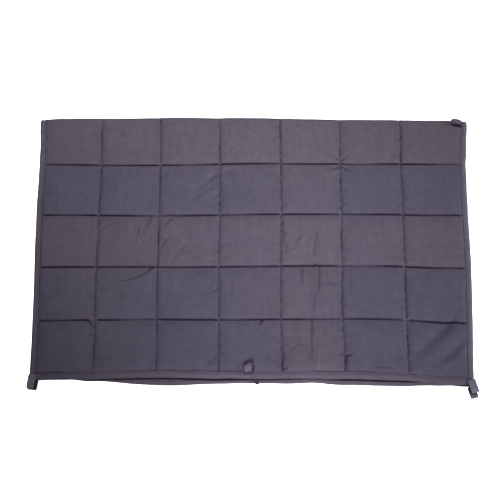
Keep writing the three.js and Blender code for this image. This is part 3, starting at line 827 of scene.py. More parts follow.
def simulate_panel(cloth):
    """Rise of the upper layer's cloth over its stitch lines, from a cloth simulation.

    The stitch lines are held, the cloth between them is cut a little long, and the filling presses it up.
    """
    column = np.arange(COLUMNS * SIM_STEPS + 1)[:, None] / SIM_STEPS
    run = panel_rows(cloth)[None]
    x = cloth.column_x(column, run)
    y = np.broadcast_to(run, x.shape)
    within = np.sin(np.pi * column) * np.sin(np.pi * np.arange(run.size)[None] / SIM_STEPS)
    start = SIM_START * np.abs(within) * (1 + unevenness(x, y, FIRST_RISE))
    points = SIM_SCALE * np.stack([x, y, start], axis=-1)
    corner = np.arange(x.size).reshape(x.shape)
    faces = np.stack([corner[:-1, :-1], corner[1:, :-1], corner[1:, 1:], corner[:-1, 1:]], axis=-1)
    mesh = bpy.data.meshes.new("panel")
    mesh.from_pydata(points.reshape(-1, 3).tolist(), [], faces.reshape(-1, 4).tolist())
    panel = bpy.data.objects.new("panel", mesh)
    scene = bpy.context.scene
    scene.collection.objects.link(panel)
    sewn = np.zeros(x.shape, bool)
    sewn[::SIM_STEPS] = True
    sewn[:, ::SIM_STEPS] = True
    panel.vertex_groups.new(name="sewn").add(corner[sewn].tolist(), 1.0, "REPLACE")
    cloth_modifier = panel.modifiers.new("cloth", "CLOTH")
    settings = cloth_modifier.settings
    settings.quality = 5
    settings.mass = 0.15
    settings.tension_stiffness = settings.compression_stiffness = 20
    settings.shear_stiffness = 8
    settings.bending_stiffness = SIM_BEND
    settings.tension_damping = settings.compression_damping = settings.shear_damping = 10
    settings.bending_damping = 0.5
    settings.air_damping = 5
    settings.vertex_group_mass = "sewn"
    settings.shrink_min = -SIM_SPARE
    settings.use_pressure = True
    settings.uniform_pressure_force = SIM_PRESS
    settings.effector_weights.gravity = 0.0
    cloth_modifier.point_cache.frame_start = 1
    cloth_modifier.point_cache.frame_end = SIM_FRAMES
    for step in range(1, SIM_FRAMES + 1):
        scene.frame_set(step)
    settled = panel.evaluated_get(bpy.context.evaluated_depsgraph_get())
    places = np.zeros(x.size * 3)
    settled.data.vertices.foreach_get("co", places)
    scene.frame_set(1)
    bpy.data.objects.remove(panel)
    bpy.data.meshes.remove(mesh)
    return places.reshape(*x.shape, 3)[..., 2] / SIM_SCALE


def square_weights(square, share, squares):
    """Weights that carry the simulation's points to other places, one row of weights to a place."""
    basis = curve_at(np.eye(SIM_STEPS + 1), share * SIM_STEPS)
    weights = np.zeros((len(square), squares * SIM_STEPS + 1))
    for place, first in enumerate(square * SIM_STEPS):
        weights[place, first : first + SIM_STEPS + 1] = basis[place]
    return weights


def dome(rising):
    """The simulated rise without its wrinkles."""
    soft = rising
    shared = (1 - SMOOTH_KEPT) / 4
    for _ in range(SMOOTHINGS):
        soft = np.maximum(soft, 0)
        middle = soft[1:-1, 1:-1]
        beside = soft[:-2, 1:-1] + soft[2:, 1:-1] + soft[1:-1, :-2] + soft[1:-1, 2:]
        soft = np.pad(SMOOTH_KEPT * middle + shared * beside, 1)
        soft[::SIM_STEPS] = 0
        soft[:, ::SIM_STEPS] = 0
    return soft


def panel_filling(cloth, column, run, rising):
    """How full the squares lie at a grid of places on the upper layer, from 0 to 1."""
    inside_column = np.clip(column, 0, COLUMNS)
    square = np.minimum(inside_column.astype(int), COLUMNS - 1)
    across = square_weights(square, inside_column - square, COLUMNS)
    rows = len(cloth.seam_runs) - 1
    distance = np.clip(-run, 0, cloth.seam_runs[-1])
    row = np.clip(np.searchsorted(cloth.seam_runs, distance), 1, rows)
    outer, inner = cloth.seam_runs[row], cloth.seam_runs[row - 1]
    along = square_weights(rows - row, (outer - distance) / (outer - inner), rows)
    risen = across @ rising @ along.T
    smooth = across @ dome(rising) @ along.T
    to_row = np.minimum(distance - inner, outer - distance)
    from_row = np.clip(WRINKLE_AT_ROW + to_row / WRINKLE_ROW_REACH, 0, 1)
    from_fold = np.clip(WRINKLE_AT_FOLD + distance / WRINKLE_FOLD_REACH, 0, 1)
    showing = SIM_WRINKLE * from_row * from_fold
    return 1 - np.exp(-np.maximum(smooth + showing * (risen - smooth), 0) / SIM_RISE)


def under_half_thickness(cloth, column, run):
    """Half thickness under the lower layer's outer face, pressed flat on the floor."""
    inside, across, along, _, _ = cloth.within_square(column, run)
    flat = np.minimum(np.minimum(across, along) / UNDER_REACH, 1)
    pressed = cloth.sizes.square_thick / 2 + UNDER_PRESS
    return np.where(inside, cloth.thin + (pressed - cloth.thin) * flat, cloth.thin)


def inner_half_thickness(cloth, column, run):
    """Half thickness under the two inner faces."""
    inside, across, along, _, _ = cloth.within_square(column, run)
    full = cloth.sizes.square_thick / 2 - cloth.thin
    return np.where(inside, cloth.thin + full * rise(across) * rise(along), cloth.thin)


def quilt_points(cloth, column, run, half, side):
    """Points on a face of the quilt, on one side of the cloth's middle and never below the floor."""
    point, outward = cloth.at(cloth.column_x(column, run), run)
    point = point + side * half[..., None] * outward
    point[..., 2] = np.maximum(point[..., 2], 0)
    return point


def fine_shares(square):
    """Places of the points across one square, closest together beside its stitch lines."""
    near = np.array(NEAR_SEAM) / square
    between = np.linspace(near[-1], 1 - near[-1], BETWEEN_STEPS + 2)[1:-1]
    return np.concatenate([near, between, 1 - near[:0:-1]])


def layer_runs(cloth, shares, bend):
    """Distances from the middle seam at which a face of one layer has points, from its rim to the bend."""
    runs = [np.array([cloth.half_length - RIM_INSET, cloth.seam_runs[-1] + RIM_STEP])]
    for seam in range(len(cloth.seam_runs) - 1, 0, -1):
        outer, inner = cloth.seam_runs[seam], cloth.seam_runs[seam - 1]
        runs.append(outer + (inner - outer) * np.asarray(shares))
    runs = np.concatenate(runs)
    return runs[runs > bend + SAME_RUN]


def bend_runs(cloth):
    """Runs round the fold."""
    return np.linspace(-cloth.upper_bend, cloth.lower_bend, BEND_STEPS)


def loft_faces(sections, around):
    """Four-sided faces over a row of closed sections."""
    section, corner = np.meshgrid(np.arange(sections - 1), np.arange(around), indexing="ij")
    here = section * around + corner
    beside = section * around + (corner + 1) % around
    return np.stack([here, beside, beside + around, here + around], axis=-1).reshape(-1, 4).tolist()


def zip_faces(outer, inner):
    """Triangles that fill a long folded section between its outer and inner faces."""
    last = len(outer) + len(inner) - 1
    faces, out, back = [], 0, 0
    while out < len(outer) - 1 or back < len(inner) - 1:
        outer_next = outer[out + 1] if out + 1 < len(outer) else math.inf
        inner_next = inner[back + 1] if back + 1 < len(inner) else math.inf
        if outer_next <= inner_next:
            faces.append([out, out + 1, last - back])
            out += 1
        else:
            faces.append([last - back - 1, last - back, out])
            back += 1
    return faces


def closed_faces(sections, around, filling):
    """Faces of a closed skin over like sections, with the same filling at both ends."""
    last = (sections - 1) * around
    start = [face[::-1] for face in filling]
    end = [[last + corner for corner in face] for face in filling]
    return loft_faces(sections, around) + start + end


def signed_volume(points, faces):
    """Six times the volume inside the faces, below 0 where they point in."""
    fans = [(f[0], f[i], f[i + 1]) for f in faces for i in range(1, len(f) - 1)]
    a, b, c = (points[np.array(fans)[:, corner]] for corner in range(3))
    return float(np.einsum("ij,ij->i", a, np.cross(b, c)).sum())


def new_piece(name, points, faces, material, crisp_angle=60.0):
    """A smooth mesh piece with its faces pointing out."""
    points = np.asarray(points, float).reshape(-1, 3)
    if signed_volume(points, faces) < 0:
        faces = [face[::-1] for face in faces]
    mesh = bpy.data.meshes.new(name)
    mesh.from_pydata(points.tolist(), [], faces)
    mesh.update()
    if mesh.validate():
        raise RuntimeError(f"{name} has faces that can't be made")
    mesh.shade_smooth()
    mesh.set_sharp_from_angle(angle=math.radians(crisp_angle))
    mesh.materials.append(material)
    piece = bpy.data.objects.new(name, mesh)
    bpy.context.scene.collection.objects.link(piece)
    return piece


def lay_weave(piece, across, along):
    """Map of the cloth's own two directions, in metres, for its weave."""
    layer = piece.data.uv_layers.new(name="weave")
    corners = np.zeros(len(piece.data.loops), int)
    piece.data.loops.foreach_get("vertex_index", corners)
    places = np.stack([np.ravel(across), np.ravel(along)], axis=-1)[corners]
    layer.data.foreach_set("uv", places.ravel().astype(np.float32))


def mark_points(piece, name, values):
    """A value at each point of the mesh, for the material to read."""
    attribute = piece.data.attributes.new(name, "FLOAT", "POINT")
    attribute.data.foreach_set("value", np.ravel(values).astype(np.float32))


def settle(piece, slot, *nodes):
    """Puts a piece on the part's body and hides the nodes that it stands for; its finish is not used."""
    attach(piece, "root")
    if nodes:
        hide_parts(*nodes)


class Bench:
    """A material's node tree, with short ways to add and join its nodes."""

    def __init__(self, name):
        self.material = bpy.data.materials.new(name)
        self.material.use_nodes = True
        self.tree = self.material.node_tree
        self.shader = self.tree.nodes["Principled BSDF"]

    def add(self, kind, settings=None, **inputs):
        node = self.tree.nodes.new("ShaderNode" + kind)
        for key, value in (settings or {}).items():
            setattr(node, key, value)
        for key, value in inputs.items():
            self.set(node, key, value)
        return node

    def set(self, node, key, value):
        socket = node.inputs[int(key[1:])] if key[1:].isdigit() else node.inputs[key.replace("_", " ")]
        if isinstance(value, bpy.types.NodeSocket):
            self.tree.links.new(value, socket)
        else:
            socket.default_value = value

    def math(self, operation, a, b=0.0):
        return self.add("Math", {"operation": operation}, i0=a, i1=b).outputs[0]

    def mix(self, share, a, b):
        node = self.add("Mix", {"data_type": "RGBA"})
        self.set(node, "Factor", share)
        for key, value in (("i6", a), ("i7", b)):
            self.set(node, key, value if isinstance(value, bpy.types.NodeSocket) else (*value, 1.0))
        return node.outputs[2]

    def noise(self, places, scale, detail=2.0):
        return self.add("TexNoise", Vector=places, Scale=scale, Detail=detail).outputs["Fac"]

    def stretched(self, places, scale):
        node = self.add("Mapping", i0=places)
        node.inputs["Scale"].default_value = scale
        return node.outputs[0]

    def spread(self, value, low, high, to_low, to_high):
        node = self.add("MapRange", Value=value)
        for key, number in (("i1", low), ("i2", high), ("i3", to_low), ("i4", to_high)):
            self.set(node, key, number)
        return node.outputs[0]

    def swing(self, places, drift):
        """Noise that swings evenly to both sides of 0."""
        noise = self.noise(places, drift.scale, drift.detail)
        return self.spread(noise, drift.low, drift.high, -drift.swing, drift.swing)

    def mark(self, name):
        """A value that the mesh has at its points."""
        return self.add("Attribute", {"attribute_name": name}).outputs["Fac"]

    def finish(self, surface):
        """Numbers and colours that are the same all over the surface."""
        for key, value in surface.items():
            self.shader.inputs[key].default_value = value


def toned(tone, *shares):
    """A tone with its channels taken by one share, or by a share each."""
    return [min(1.0, channel * share) for channel, share in zip(tone, shares * (3 // len(shares)))]


def woven_cloth(name, tones, weave_pitch, rough, weave_depth):
    """Smooth woven cloth: a plain weave with uneven threads, a drifting tone and a faint sheen, with painted
    shade and painted light read from the mesh.
    """
    bench = Bench(name)
    places = bench.add("UVMap", {"uv_map": "weave"}).outputs[0]
    axes = bench.add("SeparateXYZ", i0=places)
    warp = bench.math("SINE", bench.math("MULTIPLY", axes.outputs[0], math.pi / weave_pitch))
    weft = bench.math("SINE", bench.math("MULTIPLY", axes.outputs[1], math.pi / weave_pitch))
    weave = bench.math("MULTIPLY", warp, weft)
    slub = bench.noise(bench.stretched(places, SLUB_SCALE), 1.0)
    drift = bench.noise(places, *DRIFT_NOISE)
    fibre = bench.noise(places, *FIBRE_NOISE)

    streak = bench.swing(bench.stretched(places, STREAK_SCALE), STREAK)
    uneven = bench.math("ADD", 1.0, bench.math("ADD", bench.swing(places, MOTTLE), streak))
    # The mesh's mark of painted light and warmer hue, with a random blush, picks the second tone
    warmth_and_painted_light = bench.math("ADD", bench.mark("warmth_and_painted_light"), bench.swing(places, BROAD_BLUSH))
    warmth_and_painted_light = bench.math("ADD", warmth_and_painted_light, bench.swing(places, SMALL_BLUSH))
    tone = bench.mix(warmth_and_painted_light, *tones)
    tone = bench.mix(bench.spread(drift, *LIGHTER_RANGE), tone, toned(tones[0], LIGHTER))
    tone = bench.mix(bench.spread(fibre, *DARKER_RANGE), tone, toned(tones[0], DARKER))
    tone = bench.add("VectorMath", {"operation": "SCALE"}, i0=tone, Scale=uneven).outputs[0]
    # Painted shade: the tone goes to its dark share where the seam mark is
    tone = bench.mix(bench.mark("seam"), tone, toned(tones[0], *CLOTH_PAINTED_SHADE))
    bench.set(bench.shader, "Base_Color", tone)
    roughness = bench.spread(drift, *ROUGH_RANGE, rough - ROUGH_LESS, rough + ROUGH_MORE)
    bench.set(bench.shader, "Roughness", roughness)
    bench.finish(CLOTH_SURFACE)

    height = bench.math("ADD", weave, bench.math("MULTIPLY", slub, SLUB_HEIGHT))
    crumple = bench.noise(places, *CRUMPLE_NOISE)
    soft = bench.add("Bump", Height=crumple, **CRUMPLE_BUMP).outputs[0]
    fine = bench.add("Bump", Height=height, Distance=weave_depth, Strength=WEAVE_STRENGTH, Normal=soft)
    bench.set(bench.shader, "Normal", fine.outputs[0])
    return bench.material


def sewing_thread(name, tone):
    """Twisted matt thread, darkened by painted shade where the seam mark is."""
    bench = Bench(name)
    places = bench.add("TexCoord").outputs["Object"]
    twist = bench.noise(places, *TWIST_NOISE)
    shade = bench.mix(twist, toned(tone, THREAD_DARKER), toned(tone, THREAD_LIGHTER))
    # Painted shade on the stitches that lie in the grooves
    shade = bench.mix(bench.mark("seam"), shade, toned(tone, THREAD_PAINTED_SHADE))
    bench.set(bench.shader, "Base_Color", shade)
    bench.finish(THREAD_SURFACE)
    bump = bench.add("Bump", Height=twist, **TWIST_BUMP).outputs[0]
    bench.set(bench.shader, "Normal", bump)
    return bench.material


def studio_floor(name, tone):
    """Pale even floor with a glow of its own, so that it stays evenly bright."""
    bench = Bench(name)
    places = bench.add("TexCoord").outputs["Object"]
    cloud = bench.noise(places, *CLOUD_NOISE)
    bench.set(bench.shader, "Base_Color", bench.mix(cloud, toned(tone, FLOOR_DARKER), tone))
    bench.finish(FLOOR_SURFACE)
    return bench.material


def binding_section(sizes, wide):
    """Section of the binding: insets from its outer edge and lifts from the middle of the cloth."""
    share = np.array(BINDING_SHARES)
    swell = np.sin(np.pi / 2 * np.minimum(share / BINDING_CROWN, 1)) ** BINDING_ROUND
    fall = 1 - BINDING_FALL * np.clip((share - BINDING_CROWN) / (1 - BINDING_CROWN), 0, 1) ** 2
    lift = sizes.binding_thick / 2 * swell * fall
    lift -= STITCH_DENT * np.exp(-(((share - BINDING_STITCH) / STITCH_DENT_REACH) ** 2))
    slot = sizes.seam_thick / 2 + SLOT_GAP
    upper_inset = np.concatenate([share * wide, [wide, BINDING_SOLID]])
    upper_lift = np.concatenate([lift, [slot, slot]])
    return (
        np.concatenate([upper_inset, upper_inset[:0:-1]]),
        np.concatenate([upper_lift, -upper_lift[:0:-1]]),
    )


def binding_wave(along, inset, seed):
    """Small unevenness of a sewn strip: gathers beside its stitches and a slow roll."""
    gather = np.exp(-np.abs(inset - BINDING_STITCH * inset.max()) / RIPPLE_FADE)
    ripple = unevenness(along, RIPPLE_STRETCH * inset, BINDING_RIPPLE._replace(seed=seed)) * gather
    return ripple + unevenness(along, inset, BINDING_ROLL._replace(seed=seed + 1))


def binding_edge(along, inset, waver, seed):
    """How far the outer edge of a sewn strip wavers, fading inwards."""
    fading = np.clip(1 - inset / BINDING_EDGE_REACH, 0, 1)
    return unevenness(along, 0.0, waver._replace(seed=seed + 2)) * fading


def binding_shade(along, inset, seed, top, strength, rolled):
    """Painted shade of a binding: on its hidden face, along the broken line of its stitches, at its inner
    edge and on its rim.

    The top is 1 where the first face of the section lies uppermost, and -1 where the last one does.
    """
    share = inset / inset.max()
    broken = LINE_EVEN + unevenness(along, 0.0, LINE_BREAKS._replace(seed=seed + 3))
    broken = np.clip(broken, LINE_LEAST, 1)
    line = strength * broken * np.exp(-(((share - BINDING_STITCH) / LINE_WIDE) ** 2))
    inner = strength * (LIP_EVEN - broken) * np.exp(-(((share - 1) / LIP_WIDE) ** 2))
    rim = rolled * np.exp(-share / RIM_WIDE)
    first_face = np.arange(len(inset)) < len(BINDING_SHARES)
    last_face = np.arange(len(inset)) > len(BINDING_SHARES) + 2
    shown = np.maximum(np.maximum(line, inner), rim)
    return np.where(first_face if top > 0 else last_face, shown, HIDDEN_DARK)


def strip_piece(name, points, inset, along, material):
    """A closed strip over its sections, with its weave laid along it."""
    points[..., 2] = np.maximum(points[..., 2], BINDING_CLEAR)
    sections, around = points.shape[:2]
    piece = new_piece(name, points, closed_faces(sections, around, [list(range(around))]), material)
    lay_weave(piece, np.broadcast_to(inset, (sections, around)), np.broadcast_to(along, (sections, around)))
    return piece


def side_binding(cloth, side, name, material):
    """Binding along one side, from the upper open end round the fold to the lower one."""
    inward = 1 if side == "left" else -1
    seed = BINDING_SEEDS[side]
    inset, lift = binding_section(cloth.sizes, cloth.sizes.side_wide)
    upper = np.arange(-cloth.half_length, -cloth.upper_bend, BINDING_STEP)
    lower = np.arange(cloth.half_length, cloth.lower_bend, -BINDING_STEP)[::-1]
    runs = np.concatenate([upper, bend_runs(cloth), lower])[:, None]
    wave = binding_wave(runs, inset[None], seed)
    x = cloth.side_x(side, runs) + inward * (inset + binding_edge(runs, inset, SIDE_EDGE, seed))
    point, outward = cloth.at(x, np.broadcast_to(runs, x.shape))
    points = point + outward * (lift + np.sign(lift) * wave)[..., None]
    piece = strip_piece(name, points, inset, runs, material)
    # Painted shade on the side binding
    mark_points(piece, "seam", binding_shade(runs, inset, seed, 1, SIDE_LINE_DARK, SIDE_RIM_DARK))
    # Painted light: the side bindings go partly to their lighter tone, the right one most
    mark_points(piece, "warmth_and_painted_light", np.full(x.shape, SIDE_PAINTED_LIGHT[side]))
    return piece


def end_binding(cloth, layer, name, material):
    """Binding of one open end, between the two side bindings."""
    edge_run = cloth.half_length if layer == "lower" else -cloth.half_length
    inward = -np.sign(edge_run)
    seed = BINDING_SEEDS[layer]
    inset, lift = binding_section(cloth.sizes, cloth.sizes.binding_wide)
    clear = cloth.sizes.side_wide + SLOT_GAP
    first, last = cloth.side_x("left", edge_run) + clear, cloth.side_x("right", edge_run) - clear
    x = np.linspace(first, last, END_STEPS)[:, None]
    wave = binding_wave(x, inset[None], seed)
    run = edge_run + inward * (inset + binding_edge(x, inset, END_EDGE, seed))
    point, outward = cloth.at(np.broadcast_to(x, run.shape), run)
    points = point + outward * (lift + np.sign(lift) * wave)[..., None]
    piece = strip_piece(name, points, inset, x, material)
    strength = END_LINE_DARK
    if layer == "upper":
        away = (x - DARK_STRETCH["x"]) / DARK_STRETCH["half"]
        strength = strength + DARK_STRETCH["more"] * np.exp(-(away**2))
    # Painted shade on the end binding
    shade = np.minimum(binding_shade(x, inset, seed, inward, strength, END_RIM_DARK), END_MOST_DARK)
    # Painted shadow of the upper open end on the lower binding
    if layer == "lower":
        rim, _ = cloth.at(x, np.full(x.shape, -cloth.half_length))
        under = points[..., 1] - rim[..., 1] + read_table(COVERS, "reach", x)
        shade = np.maximum(shade, END_MOST_DARK * np.clip(under / COVER_SOFT, 0, 1))
    mark_points(piece, "seam", shade)
    return piece


def tape_frame(cloth, loop):
    """Route of a loop's tape, the directions out of its face, and a way to place both in the frame."""
    run = {"upper": -cloth.half_length, "lower": cloth.half_length, "fold": BACK_LOOP_RUN}[loop.layer]
    route = smooth_path(loop.route, TAPE_STEPS)
    along = np.gradient(route, axis=0)
    along /= np.linalg.norm(along, axis=1, keepdims=True)
    over = np.stack([-along[:, 1], along[:, 0]], axis=-1)
    swing = np.array(Matrix.Rotation(math.radians(loop.heading), 3, "Z"))
    seat, _ = cloth.at(loop.x, run)
    if loop.layer != "fold":
        inner_run = run - np.sign(run) * np.maximum(-route[:, 0], 0)
        under, _ = cloth.at(loop.x, inner_run)
        route[:, 1] += under[:, 2] - seat[2]

    def placed(flat, width, shift=seat):
        return np.stack([flat[..., 0], -width, flat[..., 1]], axis=-1) @ swing.T + shift

    return route, over, placed


def tape_loop(cloth, loop, material):
    """A band of folded tape along its route, with rolled edges, narrower or wider at its turn."""
    half_wide = cloth.sizes.tape_wide / 2
    route, over, placed = tape_frame(cloth, loop)
    share = np.linspace(0, 1, len(route))[:, None]
    turned_back = loop.tack > loop.turn
    tape = TURNED_TAPE if turned_back else HANGING_TAPE
    narrow = 1 + loop.flare * np.exp(-(((share - loop.turn) / tape.flare_reach) ** 2))
    turn = np.linspace(0, 2 * np.pi, TAPE_AROUND, endpoint=False)
    across = half_wide * np.sign(np.cos(turn)) * np.abs(np.cos(turn)) ** TAPE_SIDE_POWER
    half = cloth.sizes.tape_thick / 2 * np.sign(np.sin(turn)) * np.abs(np.sin(turn)) ** TAPE_FACE_POWER
    hem = np.exp(-(((np.abs(across) - HEM_PLACE * cloth.sizes.tape_wide) / HEM_WIDE) ** 2))
    half = half * (1 - HEM_DENT * hem)
    if turned_back:
        aside = np.sin(np.pi * np.minimum(share / loop.turn, 1))
    else:
        aside = np.clip(0.5 + (share - loop.turn) / LEAN_REACH, 0, 1)
    width = across * narrow * loop.wide + loop.lean * aside
    flat = route[:, None] + over[:, None] * half[None, :, None]
    flat[..., 0] += loop.skew * (flat[..., 0] - route[0, 0]) * across / half_wide
    points = placed(flat, width)
    faces = closed_faces(len(route), len(turn), [list(range(len(turn)))])
    piece = new_piece(f"sewn_{loop.node}", points, faces, material)
    steps = np.linalg.norm(np.diff(route, axis=0), axis=1)
    travel = np.concatenate([[0], np.cumsum(steps)])[:, None]
    lay_weave(piece, width, np.broadcast_to(travel, width.shape))
    # Painted shade on the tape: its edges, its hidden face, under the upper loops, at its turn and at its end
    edge = tape.edge_dark * np.clip((np.abs(across) / half_wide - tape.edge_from) / EDGE_SOFT, 0, 1)
    hidden = tape.hidden_dark * (half < 0)
    if turned_back:
        hidden = hidden * np.clip(np.abs(share - loop.turn) / HIDDEN_REACH, HIDDEN_LEAST, 1)
    if loop.layer == "lower":
        covered = np.clip((LOOP_COVER - route[:, :1]) / COVER_SOFT, 0, 1)
        hidden = np.maximum(hidden, LOOP_COVER_DARK * covered)
    bent = tape.turn_dark * np.exp(-(((share - loop.turn - TURN_PLACE) / TURN_WIDE) ** 2))
    bent = np.maximum(bent, tape.end_dark * np.exp(-(((share - 1) / END_WIDE) ** 2)))
    mark_points(piece, "seam", np.maximum(np.maximum(edge, hidden), bent))
    # Painted light: the front corner loops go to the tape's lighter tone
    mark_points(piece, "warmth_and_painted_light", np.full(len(piece.data.vertices), loop.pale))
    return piece


def tack_row(cloth, loop):
    """Stitches across a loop's tape where it is sewn down."""
    sizes = cloth.sizes
    route, over, placed = tape_frame(cloth, loop)
    at = int(round(loop.tack * (len(route) - 1)))
    width = np.linspace(-TACK_HALF, TACK_HALF, TACK_STEPS) * sizes.tape_wide * loop.wide
    face = np.repeat((route[at] + over[at] * sizes.tape_thick / 2)[None], len(width), axis=0)
    up = placed(np.repeat(over[at][None], len(width), axis=0), 0 * width, 0.0)
    return stitch_row(placed(face, width), up, sizes, 0.0)


def stitch_row(point, outward, sizes, lift):
    """Centres, directions and ups of even stitches along a line of points."""
    step = np.linalg.norm(np.diff(point, axis=0), axis=1)
    travel = np.concatenate([[0], np.cumsum(step)])
    count = int(travel[-1] / sizes.stitch_pitch)
    places = (np.arange(count) + 0.5) * travel[-1] / count

    def along_line(values, at):
        return np.stack([np.interp(at, travel, values[:, axis]) for axis in range(3)], axis=-1)

    up = along_line(outward, places)
    way = along_line(point, places + STITCH_AIM) - along_line(point, places - STITCH_AIM)
    way /= np.linalg.norm(way, axis=1, keepdims=True)
    return along_line(point, places) + lift * up, way, up


def stitch_piece(name, rows, sizes, material, seed):
    """All the stitches of some rows as one joined mesh of short arched threads."""
    centre, way, up = (np.concatenate(column) for column in zip(*rows))
    draw = np.random.default_rng(seed)
    slant = draw.normal(0, STITCH_SLANT, len(centre))[:, None]
    side = np.cross(way, up)
    way = way * np.cos(slant) + side * np.sin(slant)
    side = np.cross(way, up)
    radius = sizes.thread_thick / 2
    half = STITCH_HALF * sizes.stitch_pitch * draw.uniform(*STITCH_RANGE, len(centre))[:, None]
    turns = np.arange(THREAD_SIDES) * 2 * np.pi / THREAD_SIDES
    points = np.zeros((len(centre), len(THREAD_RINGS), THREAD_SIDES, 3))
    for index, ring in enumerate(THREAD_RINGS):
        for corner, turn in enumerate(turns):
            out = radius * ring.thick * math.sin(turn)
            rises = radius * (ring.lift + ring.thick * math.cos(turn))
            points[:, index, corner] = centre + way * half * ring.place + side * out + up * rises
    around = closed_faces(len(THREAD_RINGS), THREAD_SIDES, [list(range(THREAD_SIDES))])
    starts = range(0, len(centre) * len(THREAD_RINGS) * THREAD_SIDES, len(THREAD_RINGS) * THREAD_SIDES)
    faces = [[start + corner for corner in face] for start in starts for face in around]
    return new_piece(name, points, faces, material)


def seam_shade(cloth, column, run):
    """Painted shade at each place: long dark lines in the stitch grooves along X, weaker broken ones along Y,
    and shade in the creases.
    """
    square = cloth.sizes.square
    column, run = np.broadcast_arrays(column, run)
    _, across, along, _, row = cloth.within_square(column, run)
    to_side = np.minimum(column, COLUMNS - column) * square
    to_end = cloth.seam_runs[-1] - np.abs(run)
    point, _ = cloth.at(cloth.column_x(column, run), run)
    x, y = point[..., 0], point[..., 1]
    rows = np.exp(-((along / ROW_LINE) ** 4)) * np.clip(ROW_AT_SIDE + to_side / ROW_SIDE_REACH, 0, 1)
    uneven = ROW_EVEN + unevenness(column * square, ROW_BREAKS.apart * run, ROW_BREAKS)
    rows = rows * np.clip(uneven, ROW_LEAST, 1)
    rows = rows * np.clip((across - CROSSING_START) / CROSSING_REACH, CROSSING_LEAST, 1)
    for gap in BREAKS:
        past = np.hypot(x - gap.x, y - gap.y) / gap.half - 1
        rows = rows * np.clip(1 + past / BREAK_SOFT, 0, 1)
    rows = np.where(to_end < END_CLEAR, 0, rows)
    # Painted shade in front of each row line
    past_row = np.abs(run) - cloth.seam_runs[row - 1]
    behind = np.where(row > 1, BEHIND_ROW * np.exp(-np.maximum(past_row, 0) / BEHIND_ROW_FADE), 0)
    seam = np.round(column)
    strong = COLUMN_EVEN + COLUMN_FRONT * np.abs(run) / cloth.half_length
    strong = strong + DARK_SEAM_MORE * np.isin(seam, DARK_SEAMS)
    strong = strong + unevenness(run, COLUMN_BREAKS.apart * seam, COLUMN_BREAKS)
    strong = np.clip(strong + unevenness(run, COLUMN_SPECKS.apart * seam, COLUMN_SPECKS), 0, 1)
    wide = COLUMN_LINE + COLUMN_LINE_MORE * (1 - strong)
    beside = np.where(column > seam, BESIDE_RIGHT, BESIDE_LEFT) * np.exp(-across / BESIDE_FADE)
    beside = beside * np.clip(along / BESIDE_CLEAR, 0, 1)
    columns = np.maximum(COLUMN_MOST * strong**2 * np.exp(-((across / wide) ** 2)), beside)
    columns = np.where(to_side < SIDE_CLEAR, 0, columns)
    firm = np.where(column > COLUMNS / 2, np.clip(SIDE_FIRM + strong, 0, SIDE_MOST), SIDE_FAINT * strong)
    side_edge = firm * np.exp(-((to_side / SIDE_LINE) ** 2))
    end_edge = END_FAINT * strong * np.exp(-((to_end / END_LINE) ** 2))
    creases = np.where(run < 0, crease_relief(x, y)[1], 0)
    return np.maximum.reduce([rows, columns, behind, side_edge, end_edge, creases])


def painted_light_and_warmth(cloth, column, run):
    """How far the cloth goes to its lighter, warmer tone, painted light with a warmer hue: some rows of
    squares and one column of them lie lighter and warmer.
    """
    distance = np.abs(run)
    warmth_and_painted_light = np.full(np.broadcast(column, run).shape, WARM_LEAST)
    for warm in WARM_ROWS:
        first, last = cloth.seam_runs[warm.row - 1], cloth.seam_runs[warm.row]
        into = np.clip(0.5 + (distance - first) / WARM_SOFT, 0, 1) if warm.row > 1 else 1.0
        warmth_and_painted_light = warmth_and_painted_light + warm.share * into * np.clip(WARM_PAST + (last - distance) / WARM_SOFT, 0, 1)
    for step in WARM_STEPS:
        warmth_and_painted_light = warmth_and_painted_light + step.share * np.clip((column - step.column) / WARM_STEP_WIDE, 0, 1)
    from_middle = np.abs(column - WARM_COLUMN - 0.5) * cloth.sizes.square
    into = np.clip(0.5 + (cloth.sizes.square / 2 - from_middle) / WARM_SOFT, 0, 1)
    return warmth_and_painted_light + WARM_COLUMN_SHARE * into


def workroom(context):
    """The sizes and colours that are set, and the cloth that the sizes give."""
    sizes = context.scene.blanket_sizes
    return sizes, context.scene.blanket_colours, FoldedCloth(sizes)


